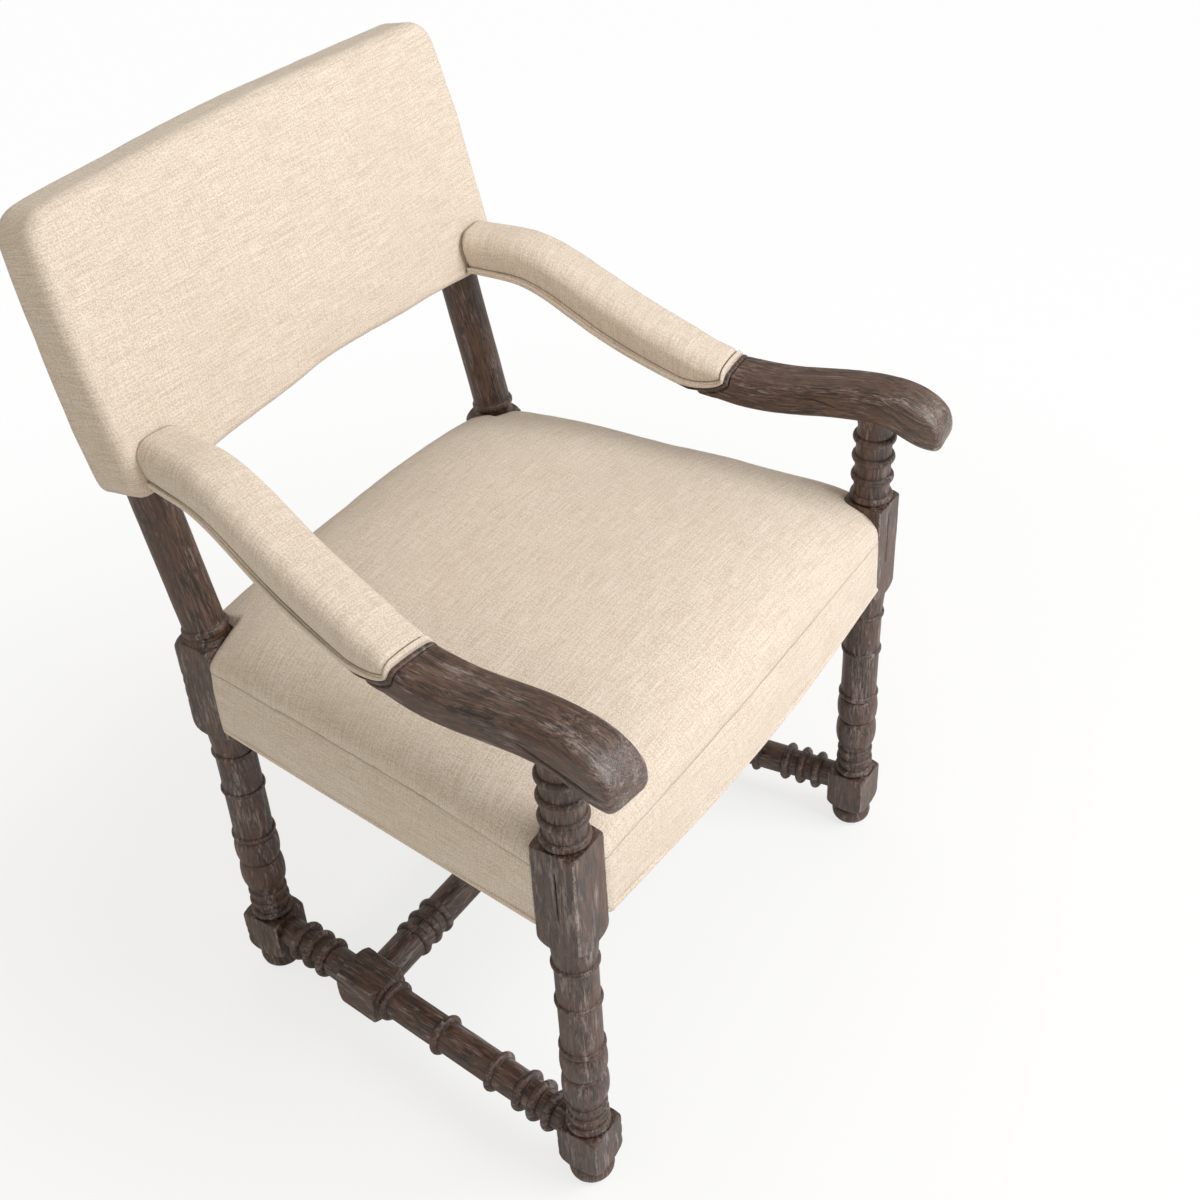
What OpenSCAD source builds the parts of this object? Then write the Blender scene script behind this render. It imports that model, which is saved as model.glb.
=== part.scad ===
// Open armchair: turned legs with an H stretcher, swept arms, and an upholstered seat, back and arm pads.
// Millimetres. The chair faces -Y, +Z is up, +X is the sitter's left.
// The origin is on the floor under the middle of the chair's box.

/* [Plan] */
// Distance between the axes of the front legs
front_spacing = 600; // [560:1:640]
// Distance between the axes of the rear legs
rear_spacing = 487; // [460:1:530]
// Distance from the front leg axes back to the rear leg axes
leg_depth = 475; // [440:1:510]
// Side of the square stock that legs and stretchers are turned from
leg_stock = 49; // [47:0.5:52]

/* [Turned legs] */
// Height of the bun foot
foot_h = 25; // [20:1:30]
// Height of the lower square block, where the stretchers enter
low_block_h = 56; // [50:1:62]
// Radius of the plain turned column
column_r = 21.5; // [20:0.5:22.5]
// Radius of the turned rings and balls
ring_r = 24; // [23:0.1:24.4]
// Radius of the hollows between the rings
hollow_r = 19; // [17:0.5:20]
// Height of the lower end of the square block at the seat
seat_block_z = 370; // [350:1:390]
// Height of that block on the front legs
front_block_h = 129; // [124:1:134]
// Height of that block on the rear legs
rear_block_h = 122; // [118:1:126]
// Diameter of the glide nailed under each foot
glide_d = 28; // [22:1:32]
// Thickness of the glide
glide_h = 3; // [2:0.5:4]

/* [Stretchers] */
// Height of the stretcher axes above the floor
stretcher_z = 61.5; // [58:0.5:64]
// Radius of the plain part of the side stretchers
side_bar_r = 18.2; // [17:0.1:20.5]
// Radius of the plain part of the cross stretcher
cross_bar_r = 19.8; // [17:0.1:20.5]
// Radius of the rings on the cross stretcher
cross_ring_r = 23.5; // [21.5:0.1:24]
// Distance from the front leg axes back to the cross stretcher
cross_setback = 318; // [300:1:330]

/* [Rear posts and back] */
// Rake of the posts above the seat, in degrees
rake = 11.8; // [8:0.2:14]
// Length of the upholstered back, measured along the posts
back_h = 264; // [250:1:300]
// How far the upholstered back stands out beyond the axis of each post
back_overhang = 37.5; // [32:0.5:46]
// Radius of the back's upper corners
back_corner_r = 30; // [20:1:45]
// Depth of the post inside the back
stile_d = 34; // [30:1:38]
// Padding in front of the frame at the back's lower edge
back_pad_low = 21; // [17:1:28]
// Padding in front of the frame at the back's upper edge
back_pad_high = 9; // [8:1:16]
// How far the middle of the back swells forward
back_crown = 13; // [4:1:20]
// How far the back's lower edge arches up between its corners
back_arch = 14; // [0:1:18]

/* [Seat] */
// Height of the seat's lower edge
seat_low_z = 391; // [387:1:396]
// Height of the boxing, from the seat's lower edge up to the seam round the top panel
boxing_h = 80; // [75:1:85]
// How much lower that seam runs along the front
seam_drop = 9; // [0:1:14]
// Rise of the crowned top above the seam
seat_crown = 69; // [50:1:90]
// Height of the seat rails
rail_h = 59; // [54:1:60]
// Thickness of the seat rails
rail_t = 25; // [20:1:28]
// Width of one webbing strap
strap_w = 50; // [40:1:55]

/* [Arms] */
// Height of the underside of the arm at the front post
arm_z = 606; // [590:1:620]
// Width of the arm at its ends
arm_w = 51; // [48:1:54]
// How far the outer side of the arm bows out between its ends
arm_bow = 8; // [0:1:10]
// Depth of the bare wooden part of the arm
arm_t = 36; // [33:1:39]
// How far the nose of the arm reaches ahead of the front post axis
nose_reach = 80; // [68:1:90]
// How far the underside dips behind the front post
arm_dip = 16; // [8:1:22]
// How far the underside rises at the hump in front of the back
arm_rise = 80; // [60:1:90]
// Distance from the front post axis back to the start of the arm pad
pad_start = 168; // [150:1:185]
// Thickness of the wooden core under the arm pad
core_t = 21; // [18:1:24]
// Depth of the padded arm at its ends, from the underside to the top of the pad
padded_t = 42; // [38:1:46]
// How much deeper the pad is halfway along
pad_swell = 8; // [0:1:10]

/* [Fits] */
// Length of the tenons on rails, stretchers and arm posts
tenon_l = 22; // [18:1:23]
// Thickness of the tenons on the rails
tenon_t = 12; // [10:1:13]
// Gap left all round a tenon in its mortise
fit_gap = 0.15; // [0.1:0.05:0.3]
// Gap between a soft part and its neighbours
soft_gap = 0.3; // [0.3:0.1:0.6]
// Thickness of the cover fabric with its lining
cloth_t = 3; // [2:0.5:3.5]

/* [Hidden] */
$fn = 64;

wood = [0.24, 0.19, 0.17];
linen = [0.80, 0.73, 0.62];
foam = [0.93, 0.88, 0.70];
jute = [0.62, 0.50, 0.34];
steel = [0.60, 0.60, 0.62];
nylon = [0.20, 0.20, 0.20];

half_stock = leg_stock / 2;
front_x = front_spacing / 2;
rear_x = rear_spacing / 2;
side_angle = atan((front_x - rear_x) / leg_depth);
side_l = leg_depth / cos(side_angle);
low_block_z = glide_h + foot_h;
front_block_top = seat_block_z + front_block_h;
rear_block_top = seat_block_z + rear_block_h;

seat_seam_z = seat_low_z + boxing_h;

// The rake starts at the collar that crowns the rear seat block
collar_h = 9;
collar_rise = 12;
rake_z = rear_block_top + collar_rise;

// The back's lower edge hangs a little below the rear ends of the arms
back_drop = 4;
back_low = (arm_z + arm_rise - rake_z) / cos(rake) - back_drop;
back_top = back_low + back_h;
back_rear = stile_d / 2 + cloth_t;
back_w = rear_spacing + 2 * back_overhang;

// The box runs from the arm noses to the upper rear edge of the back
nose_edge = 8;
nose_y = -nose_reach * cos(side_angle) - (arm_w / 2 - nose_edge) * sin(side_angle);
back_top_swell = 7;
back_rear_draw = 1.5;
back_y = leg_depth + back_rear * cos(rake) + (back_top + back_top_swell - back_rear_draw) * sin(rake);
front_y = -(back_y + nose_y) / 2;
rear_y = front_y + leg_depth;

// Turning profiles, as points [radius, height] for a revolve

// A rounded bead of height h on a neck, centred at z
function bead(z, h, r, neck, steps = 6) =
    [for (i = [0:steps]) let (a = 180 * i / steps - 90) [neck + (r - neck) * cos(a), z + h / 2 * sin(a)]];

// A square block between z0 and z1, its corners rounded over a height of low at the bottom and high at the top.
// The rounding starts just inside the flats and ends just beyond the corners.
inside_flats = 0.97;
beyond_corners = 1.45;
function block(z0, z1, low, high, steps = 5) =
    let (r0 = half_stock * inside_flats, r1 = half_stock * beyond_corners)
    concat(
        [for (i = [0:steps]) let (a = 90 * i / steps) [r0 + (r1 - r0) * sin(a), z0 + low * (1 - cos(a))]],
        [for (i = [0:steps]) let (a = 90 * i / steps) [r0 + (r1 - r0) * cos(a), z1 - high * (1 - sin(a))]]);

// Everything that front and rear legs share, from the foot up to the seat block: the bun foot, the lower block,
// three rings that shrink upwards, a ball, a vase under its cap, and the column with two thin rings
foot_bulge = 0.78 * foot_h;
foot_bulge_z = glide_h + 0.42 * foot_h;
foot_sole_r = ring_r - 6;
low_block_turn = [15, 7];
seat_block_turn = 18;
ring_h = 9;
ring_pitch = 15.5;
ring_shrink = [0.5, 1.8, 2.6];
rings_h = 3.1 * ring_pitch;
ball_h = 40;
ball_extra = 0.4;
vase_h = 34;
thin_ring_h = 6;
column_ring_gap = 33;
column_ring_pitch = 55;
function lower_turning() =
    let (z1 = low_block_z + low_block_h, z_ball = z1 + rings_h + ball_h / 2,
         z_vase = z_ball + (ball_h + vase_h) / 2 + 1, z_cap = z_vase + vase_h / 2 + thin_ring_h)
    concat(
        [[0, glide_h], [foot_sole_r, glide_h]],
        bead(foot_bulge_z, foot_bulge, ring_r, foot_sole_r + 1),
        block(low_block_z, z1, low_block_turn[0], low_block_turn[1]),
        [for (i = [0:2]) each bead(z1 + ring_h / 2 + i * ring_pitch, ring_h, ring_r - ring_shrink[i], hollow_r)],
        bead(z_ball, ball_h, ring_r + ball_extra, hollow_r + 0.5, 10),
        bead(z_vase, vase_h, ring_r + ball_extra, column_r - 1, 8),
        bead(z_cap, thin_ring_h + 1, ring_r, column_r),
        bead(seat_block_z - column_ring_gap - column_ring_pitch, thin_ring_h, ring_r - 0.1, column_r),
        bead(seat_block_z - column_ring_gap, thin_ring_h, ring_r, column_r));

// The ringed stump between the front seat block and the arm
stump_pitch = 25;
stump_flare = 14;
stump_shoulder = 5;
function arm_post_turning() =
    concat(
        block(seat_block_z, front_block_top, seat_block_turn, stump_shoulder),
        [for (i = [0:3])
            each bead(front_block_top + stump_shoulder + i * stump_pitch, ring_h + 0.5, ring_r, hollow_r + 1)],
        [[hollow_r, arm_z - stump_flare], [column_r, post_top], [0, post_top]]);
post_top = arm_z + 2;

// Square stock turned to a profile
module turned(points) {
    top = max([for (p = points) p[1]]);
    intersection() {
        rotate_extrude() polygon(points);
        translate([-half_stock, -half_stock, 0]) cube([leg_stock, leg_stock, top]);
    }
}

// Frames of reference

// Left side of the chair: origin under the front leg axis, +Y along the line to the rear leg
module on_left_side() {
    translate([front_x, front_y, 0]) rotate([0, 0, side_angle]) children();
}

// Plane of the raked posts: origin at the collars, +Z up along the posts, -Y to the sitter
module on_rake() {
    translate([0, rear_y, rake_z]) rotate([-rake, 0, 0]) children();
}

module mirrored(side) {
    mirror([side < 0 ? 1 : 0, 0, 0]) children();
}

// Between the facing sides of the front and the rear blocks
module between_legs() {
    translate([-front_spacing, front_y + half_stock, 0])
        cube([2 * front_spacing, leg_depth - leg_stock, seat_seam_z]);
}

// Tenons, drawn once for the tenon and once, grown by a gap, for its mortise

stretcher_tenon_r = 10;
module side_stretcher_tenons(gap = 0) {
    inset = half_stock - tenon_l - gap;
    on_left_side() translate([0, inset, stretcher_z]) rotate([-90, 0, 0])
        cylinder(r = stretcher_tenon_r + gap, h = side_l - 2 * inset);
}

cross_tenon_r = 9;
cross_y = front_y + cross_setback;
cross_x = front_x - cross_setback * tan(side_angle);
module cross_tenons(gap = 0) {
    reach = cross_x + half_stock - cross_tenon_wall + gap;
    translate([-reach, cross_y, stretcher_z]) rotate([0, 90, 0]) cylinder(r = cross_tenon_r + gap, h = 2 * reach);
}
cross_tenon_wall = 27;

// Rails stand back from the outer faces of the blocks, and leave room for the cover under them
rail_inset = cloth_t + 3.5;
rail_z = seat_low_z + cloth_t + soft_gap;
rail_top = rail_z + rail_h;
tenon_shoulder = 8;
side_rail_x = half_stock - rail_inset - rail_t / 2;
front_rail_y = front_y - half_stock + rail_inset + rail_t / 2;
rear_rail_y = rear_y + half_stock - rail_inset - rail_t / 2;

module side_rail_tenons(gap = 0) {
    inset = half_stock - tenon_l - gap;
    on_left_side() translate([side_rail_x - tenon_t / 2 - gap, inset, rail_z + tenon_shoulder - gap])
        cube([tenon_t + 2 * gap, side_l - 2 * inset, rail_h - 2 * tenon_shoulder + 2 * gap]);
}

module end_rail_tenons(leg_x, y, gap = 0) {
    reach = leg_x - half_stock + tenon_l - 2 + gap;
    translate([-reach, y - tenon_t / 2 - gap, rail_z + tenon_shoulder - gap])
        cube([2 * reach, tenon_t + 2 * gap, rail_h - 2 * tenon_shoulder + 2 * gap]);
}

post_tenon_r = 12.5;
post_tenon_l = 18;
module post_tenon(gap = 0) {
    translate([front_x, front_y, post_top - 1]) cylinder(r = post_tenon_r + gap, h = post_tenon_l + 1 + gap);
}

// Legs

glide_pin_r = 1.5;
glide_pin_l = 14;
module glide_pin(x, y, gap = 0) {
    translate([x, y, 0]) cylinder(r = glide_pin_r + gap, h = glide_h + glide_pin_l + gap);
}

module front_leg(side) {
    color(wood) mirrored(side) difference() {
        union() {
            translate([front_x, front_y, 0])
                turned(concat(lower_turning(), arm_post_turning()));
            post_tenon();
        }
        side_stretcher_tenons(fit_gap);
        side_rail_tenons(fit_gap);
        end_rail_tenons(front_x, front_rail_y, fit_gap);
        glide_pin(front_x, front_y, fit_gap);
    }
}

// The round post runs up into the back, and a flat stile carries on inside it
stile_start = back_low - 6;
stile_lap = 12;
stile_end = back_top - 14;
rake_shoulder = 16;
module rear_post(side) {
    color(wood) mirrored(side) difference() {
        union() {
            translate([rear_x, rear_y, 0])
                turned(concat(lower_turning(), block(seat_block_z, rear_block_top, seat_block_turn, rake_shoulder),
                    [[column_r + 1, rake_z], [0, rake_z]]));
            on_rake() translate([rear_x, 0, 0]) {
                rotate_extrude() polygon(concat([[0, -10], [column_r, -10]],
                    bead(0, collar_h, ring_r, column_r),
                    [[column_r, stile_start + stile_lap], [0, stile_start + stile_lap]]));
                translate([-half_stock, -stile_d / 2, back_low])
                    cube([leg_stock, stile_d, stile_end - back_low]);
            }
        }
        side_stretcher_tenons(fit_gap);
        side_rail_tenons(fit_gap);
        end_rail_tenons(rear_x, rear_rail_y, fit_gap);
        back_rail_tenons(back_bottom_rail_v, back_bottom_rail_h, fit_gap);
        back_rail_tenons(back_top_rail_v, back_top_rail_h, fit_gap);
        arm_screw(fit_gap);
        glide_pin(rear_x, rear_y, fit_gap);
    }
}

// Stretchers

bar_ring_h = 11;
bar_ring_pitch = 20.5;
bar_bead_h = 9;
front_ring_offset = 21;
rear_ring_offset = 28;
cross_block_l = 58;
cross_block_turn = 9;
bar_beads = [102, 181];

function side_stretcher_turning() =
    let (s0 = half_stock, s1 = side_l - half_stock, neck = side_bar_r - 1.5,
         c = cross_setback / cos(side_angle), b0 = c - cross_block_l / 2, b1 = c + cross_block_l / 2)
    concat(
        [[0, s0 - 5], [neck, s0 - 5]],
        [for (i = [0:2]) each bead(s0 + front_ring_offset + i * bar_ring_pitch, bar_ring_h, ring_r, neck)],
        [[side_bar_r, s0 + front_ring_offset + 2 * bar_ring_pitch + bar_ring_h / 2 + 1]],
        [for (s = [s0 + bar_beads[0], s0 + bar_beads[1], b0 - bar_bead_h])
            each bead(s, bar_bead_h, ring_r - 0.4, side_bar_r)],
        block(b0, b1, cross_block_turn, cross_block_turn),
        [[side_bar_r, b1 + 1]],
        [[side_bar_r, s1 - rear_ring_offset - 2 * bar_ring_pitch - bar_ring_h / 2 - 1]],
        [for (i = [2:-1:0]) each bead(s1 - rear_ring_offset - i * bar_ring_pitch, bar_ring_h, ring_r, neck)],
        [[neck, s1 + 5], [0, s1 + 5]]);

module side_stretcher(side) {
    color(wood) mirrored(side) difference() {
        union() {
            intersection() {
                on_left_side() translate([0, 0, stretcher_z]) rotate([-90, 0, 0]) turned(side_stretcher_turning());
                between_legs();
            }
            side_stretcher_tenons();
        }
        cross_tenons(fit_gap);
    }
}

cross_ring_offset = 52;
module cross_stretcher() {
    reach = cross_x - half_stock / cos(side_angle);
    rings = [for (end = [-1, 1], i = [0:2]) end * (reach - cross_ring_offset - i * bar_ring_pitch)];
    ordered = [rings[0], rings[1], rings[2], rings[5], rings[4], rings[3]];
    color(wood) {
        difference() {
            translate([0, cross_y, stretcher_z]) rotate([0, 90, 0]) rotate_extrude()
                polygon(concat([[0, -cross_x], [cross_bar_r, -cross_x]],
                    [for (z = ordered) each bead(z, bar_ring_h - 1, cross_ring_r, cross_bar_r)],
                    [[cross_bar_r, cross_x], [0, cross_x]]));
            for (side = [-1, 1]) mirrored(side) on_left_side()
                translate([-half_stock, 0, 0]) cube([4 * leg_stock, side_l, seat_low_z]);
        }
        cross_tenons();
    }
}

// Seat frame

module side_seat_rail(side) {
    color(wood) mirrored(side) difference() {
        union() {
            intersection() {
                on_left_side() translate([side_rail_x - rail_t / 2, 0, rail_z]) cube([rail_t, side_l, rail_h]);
                between_legs();
            }
            side_rail_tenons();
        }
        corner_screws(fit_gap);
    }
}

module end_seat_rail(leg_x, y) {
    reach = leg_x - half_stock;
    color(wood) difference() {
        union() {
            translate([-reach, y - rail_t / 2, rail_z]) cube([2 * reach, rail_t, rail_h]);
            end_rail_tenons(leg_x, y);
        }
        for (side = [-1, 1]) mirrored(side) corner_screws(fit_gap);
    }
}

// A corner block braces each corner of the frame, glued and screwed to both rails
corner_leg = 92;
corner_flat = 40;
corner_end = 102;
corner_throat = 162;
corner_block_h = 44;
corner_block_z = rail_z + 8;
front_inner_y = front_rail_y + rail_t / 2;
rear_inner_y = rear_rail_y - rail_t / 2;

module corner_block(side, front) {
    leg_x = front ? front_x : rear_x;
    y = front ? front_inner_y : rear_inner_y;
    into = front ? 1 : -1;
    color(wood) mirrored(side) difference() {
        translate([leg_x, y, corner_block_z]) linear_extrude(corner_block_h)
            polygon([[-corner_leg, 0], [corner_flat - corner_leg, 0], [corner_leg / 2, into * corner_end],
                [corner_leg / 2, into * corner_throat]]);
        on_left_side() translate([side_rail_x - rail_t / 2, -side_l, 0]) cube([side_l, 3 * side_l, seat_seam_z]);
        corner_screws(fit_gap);
    }
}

screw_r = 2;
screw_head_r = 4;
screw_l = 38;
screw_head_l = 3;
screw_bite = 16;
corner_screw_z = corner_block_z + corner_block_h / 2;
end_screw_x = corner_leg - corner_flat / 2;
side_screw_s = corner_leg - 12;

// A countersunk screw along +Y, its tip a bite deep beyond the origin
module wood_screw(gap) {
    rotate([-90, 0, 0]) translate([0, 0, screw_bite - screw_l]) {
        cylinder(r = screw_r + gap, h = screw_l);
        translate([0, 0, gap > 0 ? -screw_l : 0])
            cylinder(r = screw_head_r + gap, h = screw_head_l + (gap > 0 ? screw_l : 0));
    }
}

module corner_screws(gap = 0) {
    translate([front_x - end_screw_x, front_inner_y, corner_screw_z]) rotate([0, 0, 180]) wood_screw(gap);
    translate([rear_x - end_screw_x, rear_inner_y, corner_screw_z]) wood_screw(gap);
    on_left_side() for (s = [side_screw_s, side_l - side_screw_s])
        translate([side_rail_x - rail_t / 2, s, corner_screw_z]) rotate([0, 0, -90]) wood_screw(gap);
}

module corner_block_screws() {
    color(steel) for (side = [-1, 1]) mirrored(side) corner_screws();
}

// Floor glides: a nylon disc with the nail that holds it

module floor_glides() {
    color(nylon) for (side = [-1, 1], place = [[front_x, front_y], [rear_x, rear_y]]) {
        glide_pin(side * place[0], place[1]);
        translate([side * place[0], place[1], 0]) cylinder(d = glide_d, h = glide_h);
    }
}

// Back frame

// The bottom rail is deeper, so that its tenons pass above the arm screws
back_rail_t = 24;
back_tenon_h = 24;
back_top_rail_h = 44;
back_bottom_rail_h = 56;
back_top_rail_v = stile_end - back_top_rail_h;
back_bottom_rail_v = back_low + 6;
back_front = -stile_d / 2;

module back_rail_tenons(v, h, gap = 0) {
    reach = rear_x - half_stock + tenon_l + gap;
    on_rake() translate([-reach, back_front + (back_rail_t - tenon_t) / 2 - gap,
            v + h - tenon_shoulder - back_tenon_h - gap])
        cube([2 * reach, tenon_t + 2 * gap, back_tenon_h + 2 * gap]);
}

module back_rail(v, h) {
    reach = rear_x - half_stock;
    color(wood) {
        on_rake() translate([-reach, back_front, v]) cube([2 * reach, back_rail_t, h]);
        back_rail_tenons(v, h);
    }
}

// Webbing, woven over and under with a strap's thickness between the two heights

strap_t = 1.6;
strap_step = strap_t + 0.3;
strap_lap = strap_w / 2 + 3;

// Outline of one strap seen from its side: crossings at places, ends at -reach and reach
function strap_outline(places, reach, first) =
    let (line = concat([[-reach, 0]],
            [for (i = [0:len(places) - 1], end = [-1, 1])
                [places[i] + end * strap_lap, (i + first) % 2 == 0 ? 0 : strap_step]],
            [[reach, 0]]))
    concat(line, [for (i = [len(line) - 1:-1:0]) [line[i][0], line[i][1] + strap_t]]);

// One strap along X, centred on y
module strap(places, reach, first, y) {
    translate([0, y + strap_w / 2, 0]) rotate([90, 0, 0])
        linear_extrude(strap_w) polygon(strap_outline(places, reach, first));
}

function spread(count, pitch) = [for (i = [0:count - 1]) (i - (count - 1) / 2) * pitch];

// Half the width between the outer faces of the side rails, at a distance back from the front legs
function rail_half_width(back) = front_x - back * tan(side_angle) + (half_stock - rail_inset) / cos(side_angle);

seat_mid = leg_depth / 2;
strap_gap = 42;
module seat_webbing() {
    cross_straps = spread(4, strap_w + strap_gap);
    long_straps = spread(4, strap_w + 1.2 * strap_gap);
    color(jute) translate([0, front_y + seat_mid, rail_top]) {
        for (i = [0:3]) strap(long_straps, rail_half_width(seat_mid + cross_straps[i] + strap_w / 2) - 5,
            i, cross_straps[i]);
        rotate([0, 0, 90]) for (i = [0:3])
            strap(cross_straps, seat_mid + half_stock - rail_inset - 5, i + 1, -long_straps[i]);
    }
}

module back_webbing() {
    upright = spread(4, strap_w + 1.1 * strap_gap);
    level = spread(2, strap_w + 0.9 * strap_gap);
    mid = (back_bottom_rail_v + 6 + stile_end) / 2;
    color(jute) on_rake() translate([0, back_front, mid]) rotate([90, 0, 0]) {
        for (i = [0:1]) strap(upright, rear_x + half_stock - 8, i, level[i]);
        rotate([0, 0, 90]) for (i = [0:3])
            strap(level, stile_end - mid - 6, i + 1, -upright[i]);
    }
}

// Soft forms

// Closed surface from a grid on top, rows of its border below, and one point that closes the underside.
// top is a square grid of points, and rows are rings of as many points as the grid's border.
function border(n) = concat(
    [for (i = [0:n - 1]) [i, 0]], [for (i = [0:n - 1]) [n, i]],
    [for (i = [n:-1:1]) [i, n]], [for (i = [n:-1:1]) [0, i]]);

module cushion(n, top, rows, last) {
    edge = border(n);
    count = len(edge);
    base = (n + 1) * (n + 1);
    points = concat([for (j = [0:n], i = [0:n]) top[j][i]], [for (row = rows) each row], [last]);
    ring_index = function(r, k) r < 0 ? edge[k % count][1] * (n + 1) + edge[k % count][0]
        : base + r * count + k % count;
    faces = concat(
        [for (j = [0:n - 1], i = [0:n - 1], half = [0, 1]) let (a = j * (n + 1) + i, b = a + n + 1)
            half == 0 ? [a, b, b + 1] : [a, b + 1, a + 1]],
        [for (r = [-1:len(rows) - 2], k = [0:count - 1], half = [0, 1])
            half == 0 ? [ring_index(r, k), ring_index(r, k + 1), ring_index(r + 1, k + 1)]
                : [ring_index(r, k), ring_index(r + 1, k + 1), ring_index(r + 1, k)]],
        [for (k = [0:count - 1])
            [ring_index(len(rows) - 1, k), ring_index(len(rows) - 1, k + 1), len(points) - 1]]);
    polyhedron(points, faces);
}

// Seat form: u runs across and v from front to back, both from -1 to 1; t is 0 at the seam and 1 at the lower edge
seat_n = 14;
front_swell = [3.5, 14];
side_swell = [-4, 0];
boxing_swell = 4;
seat_round = 2.6;
rear_drop = 4;

function swell(range, t) = range[0] + (range[1] - range[0]) * t + boxing_swell * sin(180 * t);

function seat_plan(u, v, t, inset) =
    let (front = -half_stock + inset - swell(front_swell, t) * pow(1 - u * u, 1.7),
         rear = leg_depth + half_stock - inset + boxing_swell * (1 - u * u),
         back = front + (rear - front) * (v + 1) / 2,
         width = rail_half_width(back) + rail_inset - inset + swell(side_swell, t) * (1 - v * v))
    [u * width, front_y + back];

function dome(u, v) = pow((1 - pow(abs(u), seat_round)) * (1 - pow(abs(v), seat_round * 1.3)), 0.42);

function grid_step(i) = sin(180 * i / seat_n - 90);

function seam_z(v) = seat_seam_z - seam_drop * pow(max(0, -v), 8) - rear_drop * pow(max(0, v), 8);

module seat_form(inset, low_z) {
    heights = [0.12, 0.35, 0.65, 0.9, 1];
    // A place on the boxing, t being 0 at the seam and 1 at the seat's lower edge
    boxing = function(u, v, z) seat_plan(u, v, min(0.9, (seam_z(v) - z) / (seam_z(v) - seat_low_z)), inset);
    top = [for (j = [0:seat_n]) [for (i = [0:seat_n])
        let (u = grid_step(i), v = grid_step(j), p = seat_plan(u, v, 0, inset))
        [p[0], p[1], seam_z(v) - inset + seat_crown * dome(u, v)]]];
    rows = [for (h = heights) [for (e = border(seat_n))
        let (u = grid_step(e[0]), v = grid_step(e[1]), top_z = seam_z(v) - inset, z = top_z + h * (low_z - top_z),
             p = boxing(u, v, z))
        [p[0], p[1], z]]];
    cushion(seat_n, top, rows, [0, front_y + seat_mid, low_z]);
}

// Room for the four seat-level blocks, and for all that lies outwards of them, grown by a gap
module leg_notches(gap) {
    size = 4 * leg_stock;
    inset = half_stock + gap;
    for (side = [-1, 1]) mirrored(side) translate([0, 0, seat_low_z - leg_stock]) {
        translate([front_x - inset, front_y + inset - size, 0]) cube([size, size, size]);
        translate([rear_x - inset, rear_y - inset, 0]) cube([size, size, size]);
    }
}

foam_low = rail_top + strap_step + strap_t + soft_gap;
module seat_foam() {
    color(foam) difference() {
        seat_form(cloth_t + 2 * soft_gap, foam_low);
        leg_notches(cloth_t);
    }
}

hem_w = 28;
module seat_cover() {
    color(linen) difference() {
        seat_form(0, seat_low_z);
        seat_form(cloth_t, seat_low_z + cloth_t);
        translate([0, front_y, 0]) linear_extrude(seat_low_z + cloth_t) seat_outline(hem_w);
        leg_notches(soft_gap);
    }
}

// Outline of the seat's lower edge, inset evenly
module seat_outline(inset) {
    polygon([for (e = border(seat_n))
        seat_plan(grid_step(e[0]), grid_step(e[1]), 0.9, inset) - [0, front_y]]);
}

trim_h = 6;
trim_t = 1.6;
module seat_trim() {
    color(linen) difference() {
        translate([0, front_y, seat_low_z + 0.5]) linear_extrude(trim_h) difference() {
            seat_outline(-trim_t - 0.1);
            seat_outline(-0.1);
        }
        leg_notches(soft_gap);
    }
}

dust_t = 1.2;
module dust_cover() {
    color(nylon) difference() {
        translate([0, front_y, seat_low_z - dust_t]) linear_extrude(dust_t) seat_outline(hem_w / 3);
        leg_notches(soft_gap);
    }
}

// Back form: rings of one rounded outline, from the rear edge round to the middle of the front

back_side_swell = 4;
back_points = 7;

// How far the lower edge hangs below its middle at a distance x from the centre
function arch(x) = back_arch * pow(min(1, abs(x) / rear_x), 1.2);

// Rounded outline of the back in its own plane, as points [x, v], inset evenly
function back_outline(inset) =
    let (hw = back_w / 2 - inset, v0 = back_low + inset, v1 = back_top - inset,
         r1 = max(back_corner_r - inset, 4), r0 = 12, low_v = v0 - back_arch,
         right_low = [for (i = [0:3]) let (a = 30 * i - 90) [hw - r0 + r0 * cos(a), low_v + r0 + r0 * sin(a)]],
         right_top = [for (i = [0:back_points]) let (a = 90 * i / back_points)
             [hw - r1 + r1 * cos(a), v1 - r1 + r1 * sin(a)]],
         rise = [for (i = [1:5]) let (f = i / 6)
             [hw + back_side_swell * sin(180 * f), low_v + r0 + f * (v1 - r1 - low_v - r0)]],
         half = concat(right_low, rise, right_top),
         top = [for (i = [1:7]) [(hw - r1) * (1 - i / 4), v1 + back_top_swell * sin(22.5 * i)]],
         low = [for (i = [1:7]) let (x = (hw - r0) * (i / 4 - 1)) [x, v0 - arch(x)]])
    concat(half, top, [for (i = [len(half) - 1:-1:0]) [-half[i][0], half[i][1]]], low);

// Depth of the padding in front of the frame at a place on the back
function back_pad(x, v) =
    let (f = (v - back_low) / back_h, across = x / (back_w / 2), up = 2 * f - 1)
    back_pad_low + (back_pad_high - back_pad_low) * f
        + back_crown * (1 - across * across) * (1 - pow(abs(up), 3));

function ring_at(outline, scale, depth) =
    let (mid = (back_low + back_top) / 2)
    [for (p = outline) let (x = p[0] * scale, v = mid + (p[1] - mid) * scale) [x, depth(x, v), v]];

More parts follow.
